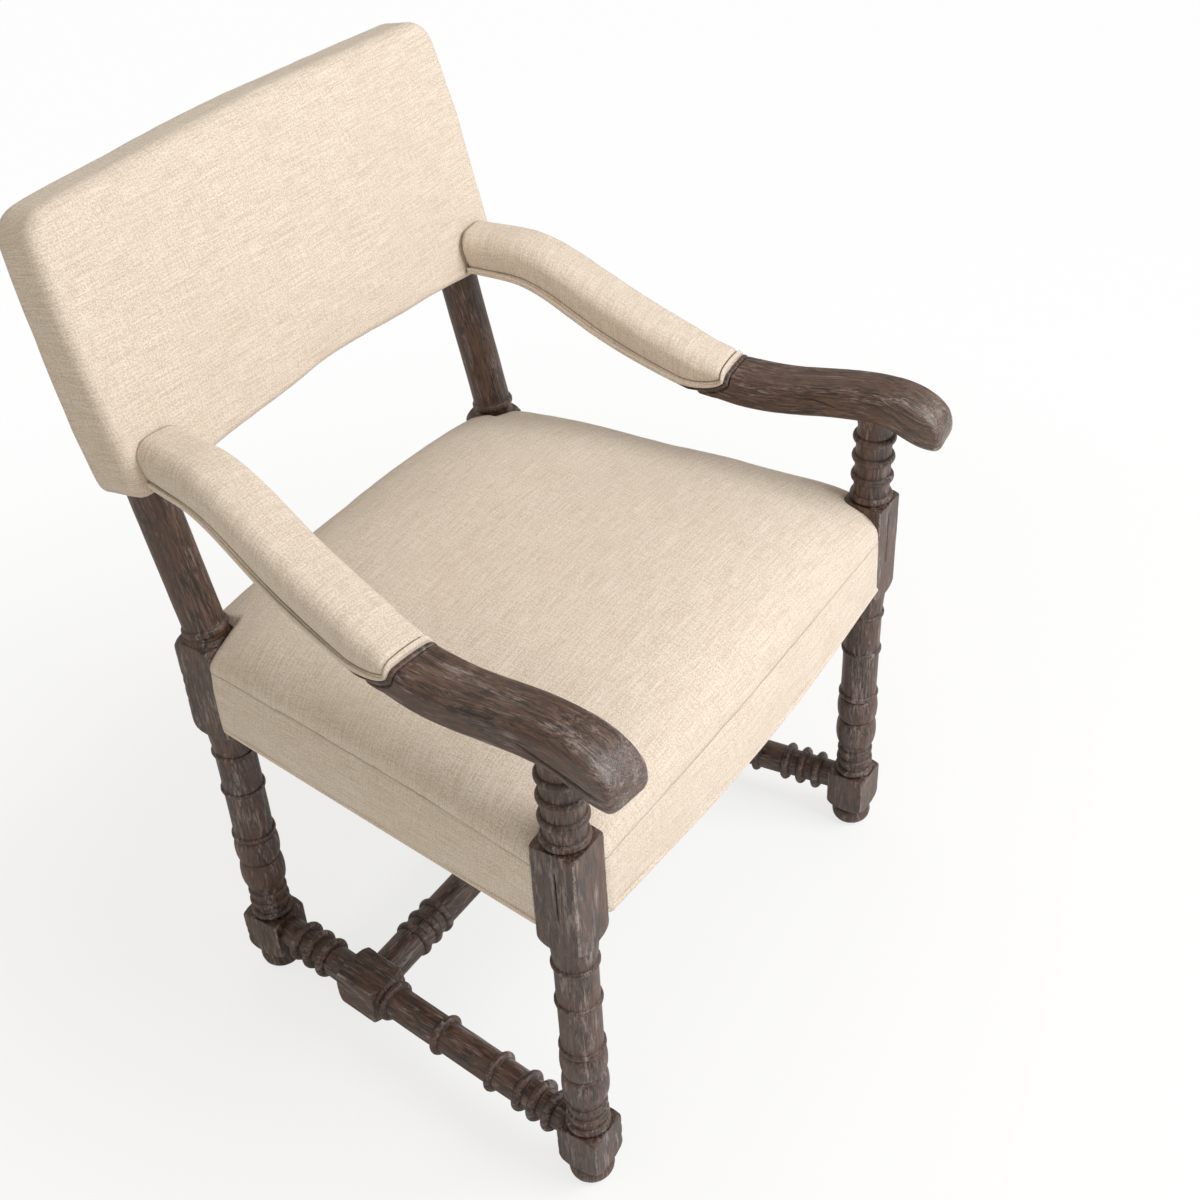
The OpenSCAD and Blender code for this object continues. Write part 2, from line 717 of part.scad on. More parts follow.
module back_form(inset, rear) {
    full = back_outline(inset);
    drawn = back_outline(inset + 3);
    shoulder = back_outline(inset + 10);
    level = function(y) function(x, v) y;
    face = function(drop) function(x, v) back_front - back_pad(x, v) + inset + drop;
    rings = [ring_at(back_outline(inset + back_rear_draw), 1, level(rear)), ring_at(full, 1, level(rear - 9)),
        ring_at(full, 1, level(back_front + 6)), ring_at(drawn, 1, face(9)), ring_at(shoulder, 1, face(2)),
        for (scale = [0.86, 0.7, 0.5, 0.25]) ring_at(shoulder, scale, face(0))];
    n = len(full);
    mid = (back_low + back_top) / 2;
    points = concat([for (ring = rings) each ring], [[0, rear, mid], [0, face(0)(0, mid), mid]]);
    last = len(rings) - 1;
    faces = concat(
        [for (r = [0:last - 1], k = [0:n - 1], half = [0, 1]) let (k2 = (k + 1) % n)
            half == 0 ? [r * n + k, (r + 1) * n + k, (r + 1) * n + k2] : [r * n + k, (r + 1) * n + k2, r * n + k2]],
        [for (k = [0:n - 1]) [k, (k + 1) % n, len(points) - 2]],
        [for (k = [0:n - 1]) [last * n + k, len(points) - 1, last * n + (k + 1) % n]]);
    polyhedron(points, faces);
}

// Room for the posts and for the wooden ends of the arms where they enter the back
module back_entries(gap) {
    for (side = [-1, 1]) mirrored(side) {
        on_rake() translate([rear_x, 0, 0]) cylinder(r = column_r + gap, h = back_low + 20);
        intersection() {
            on_left_side() translate([-arm_w / 2 - gap, side_l - leg_stock, arm_z + arm_rise - gap])
                cube([arm_w + bow(side_l - leg_stock) + 2 * gap, 3 * leg_stock, core_t + 2 * gap]);
            ahead_of(back_front + gap);
        }
    }
}

module back_cover() {
    color(linen) difference() {
        on_rake() difference() {
            back_form(0, back_rear);
            back_form(cloth_t, back_rear + 1);
        }
        back_entries(soft_gap);
    }
}

module back_foam() {
    color(foam) difference() {
        on_rake() intersection() {
            back_form(cloth_t + 2 * soft_gap, back_rear - cloth_t);
            translate([-back_w, -stile_d * 5, 0])
                cube([2 * back_w, stile_d * 4.5 - strap_step - strap_t - soft_gap, back_top * 2]);
        }
        back_entries(soft_gap);
    }
}

outside_back_t = 1.8;
module outside_back() {
    color(linen) on_rake() difference() {
        translate([0, stile_d / 2 + outside_back_t, 0]) rotate([90, 0, 0])
            linear_extrude(outside_back_t) polygon(back_outline(cloth_t + 2));
        for (side = [-1, 1])
            translate([side * rear_x, 0, 0]) cylinder(r = column_r + soft_gap, h = back_low + 6 + soft_gap);
    }
}

// Arms: lofts along the left side line, s being the distance back from the front post axis

// Smooth curve through turning points [s, height]
function eased(s, knots) =
    let (last = len(knots) - 1)
    s <= knots[0][0] ? knots[0][1] : s >= knots[last][0] ? knots[last][1]
    : let (i = max([for (j = [0:last - 1]) if (knots[j][0] <= s) j]), a = knots[i], b = knots[i + 1])
        a[1] + (b[1] - a[1]) * (1 - cos(180 * (s - a[0]) / (b[0] - a[0]))) / 2;

// The underside hangs under the nose, rises over the post, dips behind it and climbs to the back
nose_drop = 17;
dip_s = pad_start - 26;
climb_end = side_l - 43;
underside_knots = [[14 - nose_reach, arm_z - nose_drop], [-5, arm_z], [dip_s, arm_z - arm_dip]];

// The climb starts gently and is steepest past its middle
function climb(t) = pow(sin(90 * (t - 0.095 * pow(sin(180 * pow(t, 1.5)), 1.5))), 2);

function underside(s) = s < dip_s ? eased(s, underside_knots) + nose_rounding(s)
    : arm_z - arm_dip + (arm_rise + arm_dip) * climb(min(1, (s - dip_s) / (climb_end - dip_s)));

// How far the sides and the underside draw in at the nose's rounded edge
function nose_rounding(s) = let (f = max(0, (nose_edge - nose_reach - s) / nose_edge))
    nose_edge * (1 - sqrt(max(0, 1 - f * f)));

// Top of the bare wood, falling to a rounded nose
nose_round = 62;
nose_low = arm_z - 3;
bare_t = arm_t + 1;
top_knots = [[-10, arm_z + bare_t], [pad_start - 33, arm_z - arm_dip + arm_t - 1]];
function bare_top(s) =
    let (nose_s = nose_round - nose_reach)
    s < nose_s ? nose_low + (arm_z + bare_t - nose_low) * sqrt(max(0, 1 - pow((nose_s - s) / nose_round, 2)))
    : eased(s, top_knots);

// Bow of the arm's outer side
function bow(s) =
    let (f = (s + nose_reach) / (side_l + nose_reach))
    arm_bow * (1 - pow(min(1, abs(2 * f - 1)), 2.5));

function half_width(s) = (arm_w + bow(s)) / 2;

// Top of the pad, swelling from its front edge to the full padded depth
pad_rise_l = 55;
pad_step = 7;
function padded_top(s) =
    let (f = min(1, max(0, (s - pad_start) / pad_rise_l)), low = bare_top(pad_start) + pad_step,
         along = min(1, (s - pad_start) / (side_l - pad_start)),
         full = underside(s) + padded_t + pad_swell * pow(sin(180 * along), 2))
    low + (full - low) * (1 - pow(1 - f, 1.6));

// The pad's lower edge runs along a thin edge of wood and turns up at its front
lip_h = 6;
pad_corner_l = 25;
pad_corner_h = 17;
function pad_low(s) =
    let (f = min(1, max(0, (s - pad_start) / pad_corner_l)))
    underside(s) + lip_h + pad_corner_h * (1 - sqrt(1 - pow(1 - f, 2)));

// Half of a ring of points at s, from the bottom to the top; the other half is its mirror
function both_sides(half, s) = let (mid = bow(s) / 2, n = len(half))
    concat([for (p = half) [mid + p[0], s, p[1]]], [[mid, s, half[n - 1][1]]],
        [for (i = [n - 1:-1:0]) [mid - half[i][0], s, half[i][1]]], [[mid, s, half[0][1]]]);

function arc(x, z, r, angles) = [for (a = angles) [x + r * cos(a), z + r * sin(a)]];

function bare_ring(s) =
    let (hw = half_width(s) - nose_rounding(s), low = underside(s), high = bare_top(s),
         r = min(8, (high - low) / 2 - 0.5))
    both_sides(concat(arc(hw - r, low + r, r, [-90, -45, 0]), arc(hw - r, high - r, r, [0:22.5:90])), s);

// Under the pad the arm is a core that stands in from a lip of full width
core_inset = cloth_t + soft_gap;
function core_ring(s) =
    let (hw = half_width(s), low = underside(s), lip = pad_low(s) - soft_gap, high = max(low + core_t, lip + 1), r = 2)
    both_sides(concat(arc(hw - r, low + r, r, [-90, -45, 0]), [[hw, lip], [hw - core_inset, lip]],
        arc(hw - core_inset - r, high - r, r, [0, 45, 90])), s);

module loft(rings) {
    n = len(rings[0]);
    last = len(rings) - 1;
    points = concat([for (ring = rings) each ring], [middle(rings[0]), middle(rings[last])]);
    faces = concat(
        [for (r = [0:last - 1], k = [0:n - 1], half = [0, 1]) let (k2 = (k + 1) % n)
            half == 0 ? [r * n + k, r * n + k2, (r + 1) * n + k2] : [r * n + k, (r + 1) * n + k2, (r + 1) * n + k]],
        [for (k = [0:n - 1]) [k, len(points) - 2, (k + 1) % n]],
        [for (k = [0:n - 1]) [last * n + k, last * n + (k + 1) % n, len(points) - 1]]);
    polyhedron(points, faces);
}

function middle(ring) = let (n = len(ring)) (ring[n - 1] + ring[n / 2 - 1]) / 2;

nose_steps = 8;
bare_steps = 10;
corner_steps = 5;
pad_steps = 14;
arm_end = side_l + 40;
function stations(from, to, steps) = [for (i = [0:steps]) from + (to - from) * i / steps];
nose_stations = [for (i = [0:nose_steps]) nose_round * (1 - cos(90 * i / nose_steps)) - nose_reach];
pad_stations = concat(
    [for (i = [0:corner_steps - 1]) pad_start + pad_corner_l * (1 - cos(90 * i / corner_steps))],
    stations(pad_start + pad_corner_l, arm_end, pad_steps));

// Everything in front of the plane y, measured square to the rake
module ahead_of(y) {
    on_rake() translate([-front_spacing, y - 3 * side_l, -arm_z]) cube([2 * front_spacing, 3 * side_l, 3 * arm_z]);
}

module arm(side) {
    color(wood) mirrored(side) difference() {
        intersection() {
            on_left_side() loft(concat(
                [for (s = nose_stations) bare_ring(s)],
                [for (s = stations(nose_round - nose_reach + 16, pad_start - 0.5, bare_steps)) bare_ring(s)],
                [for (s = pad_stations) core_ring(s)]));
            ahead_of(back_front);
        }
        on_rake() translate([rear_x, 0, 0]) cylinder(r = column_r + fit_gap, h = stile_start + 13);
        post_tenon(fit_gap);
        translate([front_x, front_y, arm_z - leg_stock])
            cylinder(r = column_r + 0.5, h = leg_stock + post_top - arm_z);
        arm_screw(fit_gap);
    }
}

// The screw that draws the arm's rear end to the post, its head sunk in the back of the post
arm_screw_r = 3;
arm_screw_l = 62;
arm_screw_head_r = 6;
arm_screw_head_l = 4;
arm_screw_z = arm_z + arm_rise + core_t / 2 - 3;
arm_screw_s = (leg_depth + (arm_screw_z - rake_z) * tan(rake)) / cos(side_angle)
    + stile_d / 2 / cos(rake) - arm_screw_head_l;
module arm_screw(gap = 0) {
    on_left_side() translate([0, arm_screw_s, arm_screw_z]) rotate([-90, 0, 0]) {
        translate([0, 0, -arm_screw_l]) cylinder(r = arm_screw_r + gap, h = arm_screw_l);
        translate([0, 0, -arm_screw_head_l - gap])
            cylinder(r = arm_screw_head_r + gap, h = arm_screw_head_l + (gap > 0 ? leg_stock : 0));
    }
}

module arm_screws() {
    color(steel) for (side = [-1, 1]) mirrored(side) arm_screw();
}

// Section of the pad: upright sides and a rounded top, grown outwards and downwards
pad_round = 14;
pad_arch = 3;
function pad_ring(s, grow, drop) =
    let (at = s < pad_start + 1 ? pad_start : s, hw = half_width(s) + grow, low = pad_low(at) - drop,
         high = padded_top(at) + grow, r = min(pad_round + grow, (high - low) / 2))
    both_sides(concat([[hw, low]], arc(hw - r, high - r, r, [0:22.5:90]), [[hw / 4, high + pad_arch * 0.8]]), s);

module pad_form(grow, drop) {
    loft([for (s = pad_stations) pad_ring(max(s, pad_start - grow), grow, drop)]);
}

// Pads stop where they meet the padded front of the back
pad_stop = back_front - back_pad_low - 1.2;
module arm_pad_cover(side) {
    color(linen) mirrored(side) intersection() {
        on_left_side() difference() {
            pad_form(0, 0);
            pad_form(-cloth_t, cloth_t);
        }
        ahead_of(pad_stop);
    }
}

// A strip of foam along the top of the core
module arm_pad_foam(side) {
    color(foam) mirrored(side) intersection() {
        on_left_side() loft([for (s = pad_stations) if (s > pad_start + cloth_t)
            let (hw = half_width(s) - core_inset, low = max(underside(s) + core_t, pad_low(s) + 1) + soft_gap,
                 high = padded_top(s) - core_inset, r = min(pad_round - cloth_t, high - low - 0.5))
            both_sides(concat([[hw, low]], arc(hw - r, high - r, r, [0:22.5:90])), s)]);
        ahead_of(pad_stop);
    }
}

// A narrow band of the same cloth round the pad's lower edge and over its front end
band_h = 8;
band_t = 1.2;
module arm_pad_band(side) {
    color(linen) mirrored(side) intersection() {
        on_left_side() difference() {
            pad_form(band_t, 0);
            pad_form(0.1, 1);
        }
        on_left_side() translate([-leg_stock, 0, 0]) rotate([90, 0, 90])
            linear_extrude(2 * leg_stock) band_outline();
        ahead_of(pad_stop);
    }
}

// A line in the side view, a distance d inside the pad's lower edge and its front corner
function inside_pad_edge(d) = concat(
    [for (i = [0:corner_steps]) let (a = 90 * i / corner_steps, s = pad_start + d + (pad_corner_l - d) * (1 - cos(a)))
        [s, underside(s) + lip_h + d + (pad_corner_h - d) * (1 - sin(a))]],
    [for (i = [1:pad_steps]) let (s = pad_start + pad_corner_l + (arm_end - pad_start - pad_corner_l) * i / pad_steps)
        [s, underside(s) + lip_h + d]]);

// The band seen from the side of the arm
band_inset = 0.6;
module band_outline() {
    outer = inside_pad_edge(band_inset);
    inner = inside_pad_edge(band_h);
    top = arm_z + arm_rise;
    polygon(concat([[pad_start + band_inset, top]], outer, [for (i = [len(inner) - 1:-1:0]) inner[i]],
        [[pad_start + band_h, top]]));
}

front_leg(-1);  // front_leg_right
front_leg(1);  // front_leg_left
rear_post(-1);  // rear_post_right
rear_post(1);  // rear_post_left
side_stretcher(-1);  // side_stretcher_right
side_stretcher(1);  // side_stretcher_left
cross_stretcher();
end_seat_rail(front_x, front_rail_y);  // front_seat_rail
end_seat_rail(rear_x, rear_rail_y);  // rear_seat_rail
side_seat_rail(-1);  // side_seat_rail_right
side_seat_rail(1);  // side_seat_rail_left
corner_block(-1, true);  // corner_block_front_right
corner_block(1, true);  // corner_block_front_left
corner_block(-1, false);  // corner_block_rear_right
corner_block(1, false);  // corner_block_rear_left
corner_block_screws();
back_rail(back_top_rail_v, back_top_rail_h);  // back_top_rail
back_rail(back_bottom_rail_v, back_bottom_rail_h);  // back_bottom_rail
arm(-1);  // arm_right
arm(1);  // arm_left
arm_screws();
floor_glides();
seat_webbing();
seat_foam();
seat_cover();
seat_trim();
dust_cover();
back_webbing();
back_foam();
back_cover();
outside_back();
arm_pad_foam(-1);  // arm_pad_foam_right
arm_pad_foam(1);  // arm_pad_foam_left
arm_pad_cover(-1);  // arm_pad_cover_right
arm_pad_cover(1);  // arm_pad_cover_left
arm_pad_band(-1);  // arm_pad_band_right
arm_pad_band(1);  // arm_pad_band_left
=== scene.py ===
import math

import bmesh
import bpy
import numpy as np
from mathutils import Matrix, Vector, kdtree, noise


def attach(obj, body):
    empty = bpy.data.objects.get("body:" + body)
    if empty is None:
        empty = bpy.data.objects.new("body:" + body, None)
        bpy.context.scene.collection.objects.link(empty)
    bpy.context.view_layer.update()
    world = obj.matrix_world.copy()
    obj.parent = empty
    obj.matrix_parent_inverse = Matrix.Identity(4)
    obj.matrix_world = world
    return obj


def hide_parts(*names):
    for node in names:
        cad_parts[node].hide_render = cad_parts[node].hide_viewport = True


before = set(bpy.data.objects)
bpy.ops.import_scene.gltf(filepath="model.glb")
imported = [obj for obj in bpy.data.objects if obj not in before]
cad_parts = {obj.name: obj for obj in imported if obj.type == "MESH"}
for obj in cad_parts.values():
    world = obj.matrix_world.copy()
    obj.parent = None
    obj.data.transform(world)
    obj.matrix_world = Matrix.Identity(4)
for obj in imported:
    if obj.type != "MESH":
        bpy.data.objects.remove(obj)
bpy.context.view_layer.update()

# The set: a plain pale floor, a white surround and a camera where the photograph was taken. The set is in
# metres. The chair's own sizes are in millimetres, from the floor under the middle of its box.
FRONT_Y = -252.693    # the front leg axes
LEG_DEPTH = 475.0     # from there back to the rear leg axes
FRONT_X = 300.0       # half the distance between the front leg axes
REAR_X = 243.5        # and between the rear ones
REAR_Y = FRONT_Y + LEG_DEPTH
CAMERA_PLACE = (-1.14806, -0.65398 + FRONT_Y / 1000, 1.60997)
CAMERA_DIP = 38.519   # degrees below the level
CAMERA_TURN = -59.851
CAMERA_LENS = 52.154
FRAME_WIDTH = 36
FRAME_SHIFT = -0.1042

scene = bpy.context.scene
scene.view_settings.view_transform = "Standard"

camera_data = bpy.data.cameras.new("camera")
camera = bpy.data.objects.new("camera", camera_data)
scene.collection.objects.link(camera)
camera.location = CAMERA_PLACE
camera.rotation_euler = (math.radians(90 - CAMERA_DIP), 0, math.radians(CAMERA_TURN))
camera_data.sensor_width = FRAME_WIDTH
camera_data.lens = CAMERA_LENS
camera_data.shift_x = FRAME_SHIFT
scene.camera = camera


def srgb(code):
    """A colour written as six hex digits, as the shader's linear values."""
    channels = [int(code[i:i + 2], 16) / 255 for i in (0, 2, 4)]
    return [c / 12.92 if c <= 0.04045 else ((c + 0.055) / 1.055) ** 2.4 for c in channels] + [1.0]


def new_material(name):
    material = bpy.data.materials.new(name)
    material.use_nodes = True
    material.node_tree.nodes.clear()
    return material, material.node_tree


def put(tree, kind, settings=None, **inputs):
    """Add a node. The settings are its attributes, and the inputs its sockets by name or number, each one a
    value or another node's output."""
    node = tree.nodes.new(kind)
    for key, value in (settings or {}).items():
        setattr(node, key, value)
    for key, value in inputs.items():
        socket = node.inputs[int(key[1:])] if key[0] == "_" else node.inputs[key.replace("_", " ")]
        if isinstance(value, bpy.types.NodeSocket):
            tree.links.new(value, socket)
        else:
            socket.default_value = value
    return node


def maths(tree, operation, *values):
    inputs = {f"_{i}": value for i, value in enumerate(values)}
    return put(tree, "ShaderNodeMath", {"operation": operation}, **inputs).outputs[0]


def blend(tree, factor, first, second):
    return put(tree, "ShaderNodeMix", {"data_type": "RGBA"}, _0=factor, _6=first, _7=second).outputs[2]


def ramp(tree, value, low, high):
    """Nought below low, one above high, smooth between."""
    return put(tree, "ShaderNodeMapRange", {"interpolation_type": "SMOOTHSTEP"},
               Value=value, From_Min=low, From_Max=high).outputs[0]


FLOOR_GLOW = (0.75, 0.97)   # how far the floor is plain white, near the chair and far from it
FLOOR_FADE = (0.4, 1.5)     # the distances between which that changes
FLOOR_HALF = 9              # half the floor's side
floor_material, tree = new_material("floor_paint")
path = put(tree, "ShaderNodeLightPath")
floor_place = put(tree, "ShaderNodeTexCoord").outputs["Object"]
away = put(tree, "ShaderNodeVectorMath", {"operation": "LENGTH"}, _0=floor_place).outputs["Value"]
near_glow, far_glow = FLOOR_GLOW
glow = maths(tree, "MULTIPLY_ADD", ramp(tree, away, *FLOOR_FADE), far_glow - near_glow, near_glow)
floor_diffuse = put(tree, "ShaderNodeBsdfDiffuse", Color=srgb("F2F2F1"))
floor_glow = put(tree, "ShaderNodeEmission", Color=srgb("FFFFFF"), Strength=1.0)
glow = maths(tree, "MULTIPLY", path.outputs["Is Camera Ray"], glow)
floor_mix = put(tree, "ShaderNodeMixShader", Fac=glow, _1=floor_diffuse.outputs[0],
                _2=floor_glow.outputs[0])
put(tree, "ShaderNodeOutputMaterial", Surface=floor_mix.outputs[0])
floor_mesh = bpy.data.meshes.new("floor")
floor_corners = [(x * FLOOR_HALF, y * FLOOR_HALF, 0) for x, y in ((-1, -1), (1, -1), (1, 1), (-1, 1))]
floor_mesh.from_pydata(floor_corners, [], [(0, 1, 2, 3)])
floor_mesh.materials.append(floor_material)
floor = bpy.data.objects.new("floor", floor_mesh)
scene.collection.objects.link(floor)

SKY_LIGHT = 0.54      # how much light the white surround gives
world = bpy.data.worlds.new("surround")
scene.world = world
world.use_nodes = True
tree = world.node_tree
tree.nodes.clear()
path = put(tree, "ShaderNodeLightPath")
strength = maths(tree, "MULTIPLY_ADD", path.outputs["Is Camera Ray"], 1 - SKY_LIGHT, SKY_LIGHT)
sky = blend(tree, path.outputs["Is Camera Ray"], srgb("FFF8EC"), srgb("FFFFFF"))
surround = put(tree, "ShaderNodeBackground", Color=sky, Strength=strength)
put(tree, "ShaderNodeOutputWorld", Surface=surround.outputs[0])


def lamp(name, place, target, size, power, colour):
    data = bpy.data.lights.new(name, "AREA")
    data.size = size
    data.energy = power
    data.color = colour
    unit = bpy.data.objects.new(name, data)
    unit.location = place
    aim = Vector(target) - Vector(place)
    unit.rotation_euler = aim.to_track_quat("-Z", "Y").to_euler()
    scene.collection.objects.link(unit)


lamp("key_lamp", place=(0.6, -2.35, 2.5), target=(0, 0, 0.4), size=1.8, power=84, colour=(0.97, 0.98, 1.0))
lamp("fill_lamp", place=(-2.6, -1.2, 2.6), target=(0, 0, 0.5), size=2.4, power=5, colour=(1.0, 0.95, 0.88))


# The four legs: each one length of square oak, turned between blocks that stay square where stretchers
# and rails are tenoned in. Stained dark, wire-brushed along the grain and dry-brushed grey on the edges.
SIDES = ((-1, "right"), (1, "left"))    # the sitter's
LEG_HALF = 24.5       # half the side of the square stock
RING_R = 24.0
HOLLOW_R = 19.0
COLUMN_R = 21.5
SOLE_R = 18.0
GLIDE_H = 3.0
LOW_BLOCK = (28.0, 84.0)
SEAT_BLOCK_LOW = 370.0
FRONT_BLOCK_TOP = 499.0
REAR_BLOCK_TOP = 492.0
ARM_Z = 606.0         # underside of the arm on the front post
RAKE = math.radians(11.8)
RAKE_Z = REAR_BLOCK_TOP + 12
# For each ring: its middle's height, its thickness, its radius and its neck's, and the big ones' steps
BUN_FOOT = (13.5, 19.5, RING_R, 19)
LOW_RINGS = [(88.5, 9, 23.5, HOLLOW_R), (104, 9, 22.2, HOLLOW_R), (119.5, 9, 21.4, HOLLOW_R)]
BALL = (152, 40, 24.4, 19.5, 24)
COLLAR = (190, 34, 24.4, 20.5, 20)
COLUMN_RINGS = [(213, 7, 24, COLUMN_R), (282, 6, 23.9, COLUMN_R), (337, 6, 24, COLUMN_R)]
STUMP_RINGS = 4       # between the seat's block and the arm
STUMP_PITCH = 25
STUMP_NECK = 20
SPLIT_SPREAD = (-0.045, -0.02, 0, 0.02, 0.045)    # the extra angles at a split, in radians
SPLIT_CLEAR = 0.05    # no other angle lies as near to it
SPLIT_MIDDLE = 0.005  # a split's full depth reaches this far from its middle
SPLIT_SIDE = 0.03     # and a part of its depth as far as this


def bead(z, h, r, neck, steps=14):
    """Half-round ring of height h on a neck, as points (radius, height) of a turning profile."""
    angles = [math.pi * i / steps - math.pi / 2 for i in range(steps + 1)]
    return [(neck + (r - neck) * math.cos(a), z + h / 2 * math.sin(a)) for a in angles]


def block(z0, z1, low, high, steps=12):
    """Square block whose corners are turned over for a height of low below and high above."""
    r0, r1 = LEG_HALF * 0.97, LEG_HALF * 1.45
    angles = [math.pi / 2 * i / steps for i in range(steps + 1)]
    return ([(r0 + (r1 - r0) * math.sin(a), z0 + low * (1 - math.cos(a))) for a in angles]
            + [(r0 + (r1 - r0) * math.cos(a), z1 - high * (1 - math.sin(a))) for a in angles])


def lower_turning():
    line = [(0, GLIDE_H), (SOLE_R, GLIDE_H)] + bead(*BUN_FOOT) + block(*LOW_BLOCK, 15, 7)
    for ring in LOW_RINGS + [BALL, COLLAR] + COLUMN_RINGS:
        line += bead(*ring)
    return line


def front_turning():
    line = lower_turning() + block(SEAT_BLOCK_LOW, FRONT_BLOCK_TOP, 18, 5)
    for i in range(STUMP_RINGS):
        line += bead(FRONT_BLOCK_TOP + 5 + STUMP_PITCH * i, 9.5, RING_R, STUMP_NECK)
    return line + [(HOLLOW_R, ARM_Z - 14), (COLUMN_R, ARM_Z + 2), (0, ARM_Z + 2)]


def refine(line, step=1.5):
    """The same profile with no stretch longer than step."""
    points = [line[0]]
    for a, b in zip(line, line[1:]):
        count = max(1, math.ceil(math.dist(a, b) / step))
        points += [(a[0] + (b[0] - a[0]) * i / count, a[1] + (b[1] - a[1]) * i / count)
                   for i in range(1, count + 1)]
    return np.array(points)


def angle_between(angles, angle):
    """How far each of the angles is from one of them, either way round."""
    return np.abs((angles - angle + math.pi) % (2 * math.pi) - math.pi)


def around(splits=()):
    """Angles once round, closer at the four corners, with extra ones where the wood has split."""
    t = np.linspace(-1, 1, 19)[:-1]
    quarter = math.pi / 4 * (1.25 * t - 0.25 * t ** 3)
    angles = [a + math.pi / 2 * q for q in range(4) for a in quarter]
    for angle, _, _ in splits:
        angles = [a for a in angles if angle_between(a, angle) > SPLIT_CLEAR]
        angles += [angle + beside for beside in SPLIT_SPREAD]
    return np.array(sorted(a % (2 * math.pi) for a in angles))


def turned_grid(line, half, angles, soft=0.5, arris=24):
    """Points, row by row up the profile, of square stock turned to it, with slightly worn arrises."""
    square = half / (np.abs(np.cos(angles)) ** arris + np.abs(np.sin(angles)) ** arris) ** (1 / arris)
    r, s = np.meshgrid(line[:, 0], square, indexing="ij")
    gap = np.minimum(np.abs(r - s) / soft, 40)
    radius = np.maximum(np.minimum(r, s) - soft * np.log1p(np.exp(-gap)) * (r > 1), 0)
    heights = np.repeat(line[:, 1:2], len(angles), axis=1)
    return np.stack([radius * np.cos(angles), radius * np.sin(angles), heights], axis=2)


def grid_normals(grid):
    across = np.roll(grid, -1, 1) - np.roll(grid, 1, 1)
    along = np.gradient(grid, axis=0)
    normal = np.cross(across, along)
    length = np.linalg.norm(normal, axis=2, keepdims=True)
    return normal / np.maximum(length, 1e-9)


def standing_proud(grid, normals, rounds=3):
    """How far each point stands out from the average of its neighbours: above nought on edges and rings."""
    level = grid.copy()
    for _ in range(rounds):
        padded = np.concatenate([level[:1], level, level[-1:]])
        level = (level * 2 + padded[:-2] + padded[2:] + np.roll(level, 1, 1) + np.roll(level, -1, 1)) / 6
    return ((grid - level) * normals).sum(axis=2)


def field(points, scale, seed):
    """Smooth noise at each point, the point being divided by scale in each direction."""
    flat = (points.reshape(-1, 3) / np.array(scale) + seed).tolist()
    return np.array([noise.noise(p) for p in flat]).reshape(points.shape[:-1])


def tube_faces(rows, columns, closed_ends=True):
    faces = [(i * columns + j, i * columns + (j + 1) % columns, (i + 1) * columns + (j + 1) % columns,
              (i + 1) * columns + j) for i in range(rows - 1) for j in range(columns)]
    if closed_ends:
        faces.append(tuple(range(columns - 1, -1, -1)))
        faces.append(tuple((rows - 1) * columns + j for j in range(columns)))
    return faces


def new_piece(name, points, faces, material, marks=None, cloth=None):
    """Mesh object from millimetres. The marks are named values for each point, and cloth is the place in
    the weave of each face corner."""
    mesh = bpy.data.meshes.new(name)
    mesh.from_pydata((np.asarray(points).reshape(-1, 3) / 1000).tolist(), [], faces)
    for key, values in (marks or {}).items():
        values = np.asarray(values, dtype=np.float32)
        kind, slot = ("FLOAT_VECTOR", "vector") if values.ndim > 1 else ("FLOAT", "value")
        mesh.attributes.new(key, kind, "POINT").data.foreach_set(slot, values.ravel())
    if cloth is not None:
        mesh.uv_layers.new(name="cloth").data.foreach_set("uv", np.asarray(cloth, dtype=np.float32).ravel())
    mesh.polygons.foreach_set("use_smooth", [True] * len(mesh.polygons))
    mesh.materials.append(material)
    mesh.validate()
    outward = bmesh.new()
    outward.from_mesh(mesh)
    bmesh.ops.recalc_face_normals(outward, faces=outward.faces)
    outward.to_mesh(mesh)
    outward.free()
    piece = bpy.data.objects.new(name, mesh)
    scene.collection.objects.link(piece)
    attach(piece, "root")
    return piece


def attribute(tree, name, output="Fac"):
    return put(tree, "ShaderNodeAttribute", {"attribute_name": name}).outputs[output]


def clouds(tree, place, scale, detail, roughness, warp=0.0):
    """Noise from nought to one, about a half in the middle."""
    return put(tree, "ShaderNodeTexNoise", Vector=place, Scale=scale, Detail=detail, Roughness=roughness,
               Distortion=warp).outputs["Fac"]


def tint(tree, colour, code, value, low, high, most):
    """Turn a colour to another one where value is high: not below low, and by the share most above high."""
    return blend(tree, maths(tree, "MULTIPLY", ramp(tree, value, low, high), most), colour, srgb(code))


def finish(tree, colour, roughness, relief, strength, depth, **gloss):
    """End a material in a surface of this colour, with a bump from its relief."""
    bump = put(tree, "ShaderNodeBump", Strength=strength, Distance=depth, Height=relief).outputs[0]
    surface = put(tree, "ShaderNodeBsdfPrincipled", Base_Color=colour, Roughness=roughness, Normal=bump,
                  **gloss)
    put(tree, "ShaderNodeOutputMaterial", Surface=surface.outputs[0])


STAIN_DARK = "170F0C"
STAIN_LIGHT = "674B3E"
STAIN_RED = "5E3D2E"
SMOKY_SCUFF = "9B918F"
HOLLOW_SHADE = "190E0A"
RUBBED_EDGE = "B3A8A2"
HAND_RUB_AND_SHEEN = "A2968F"
PORE_DARK = "0F0B09"
SPLIT_SHADE = "050404"


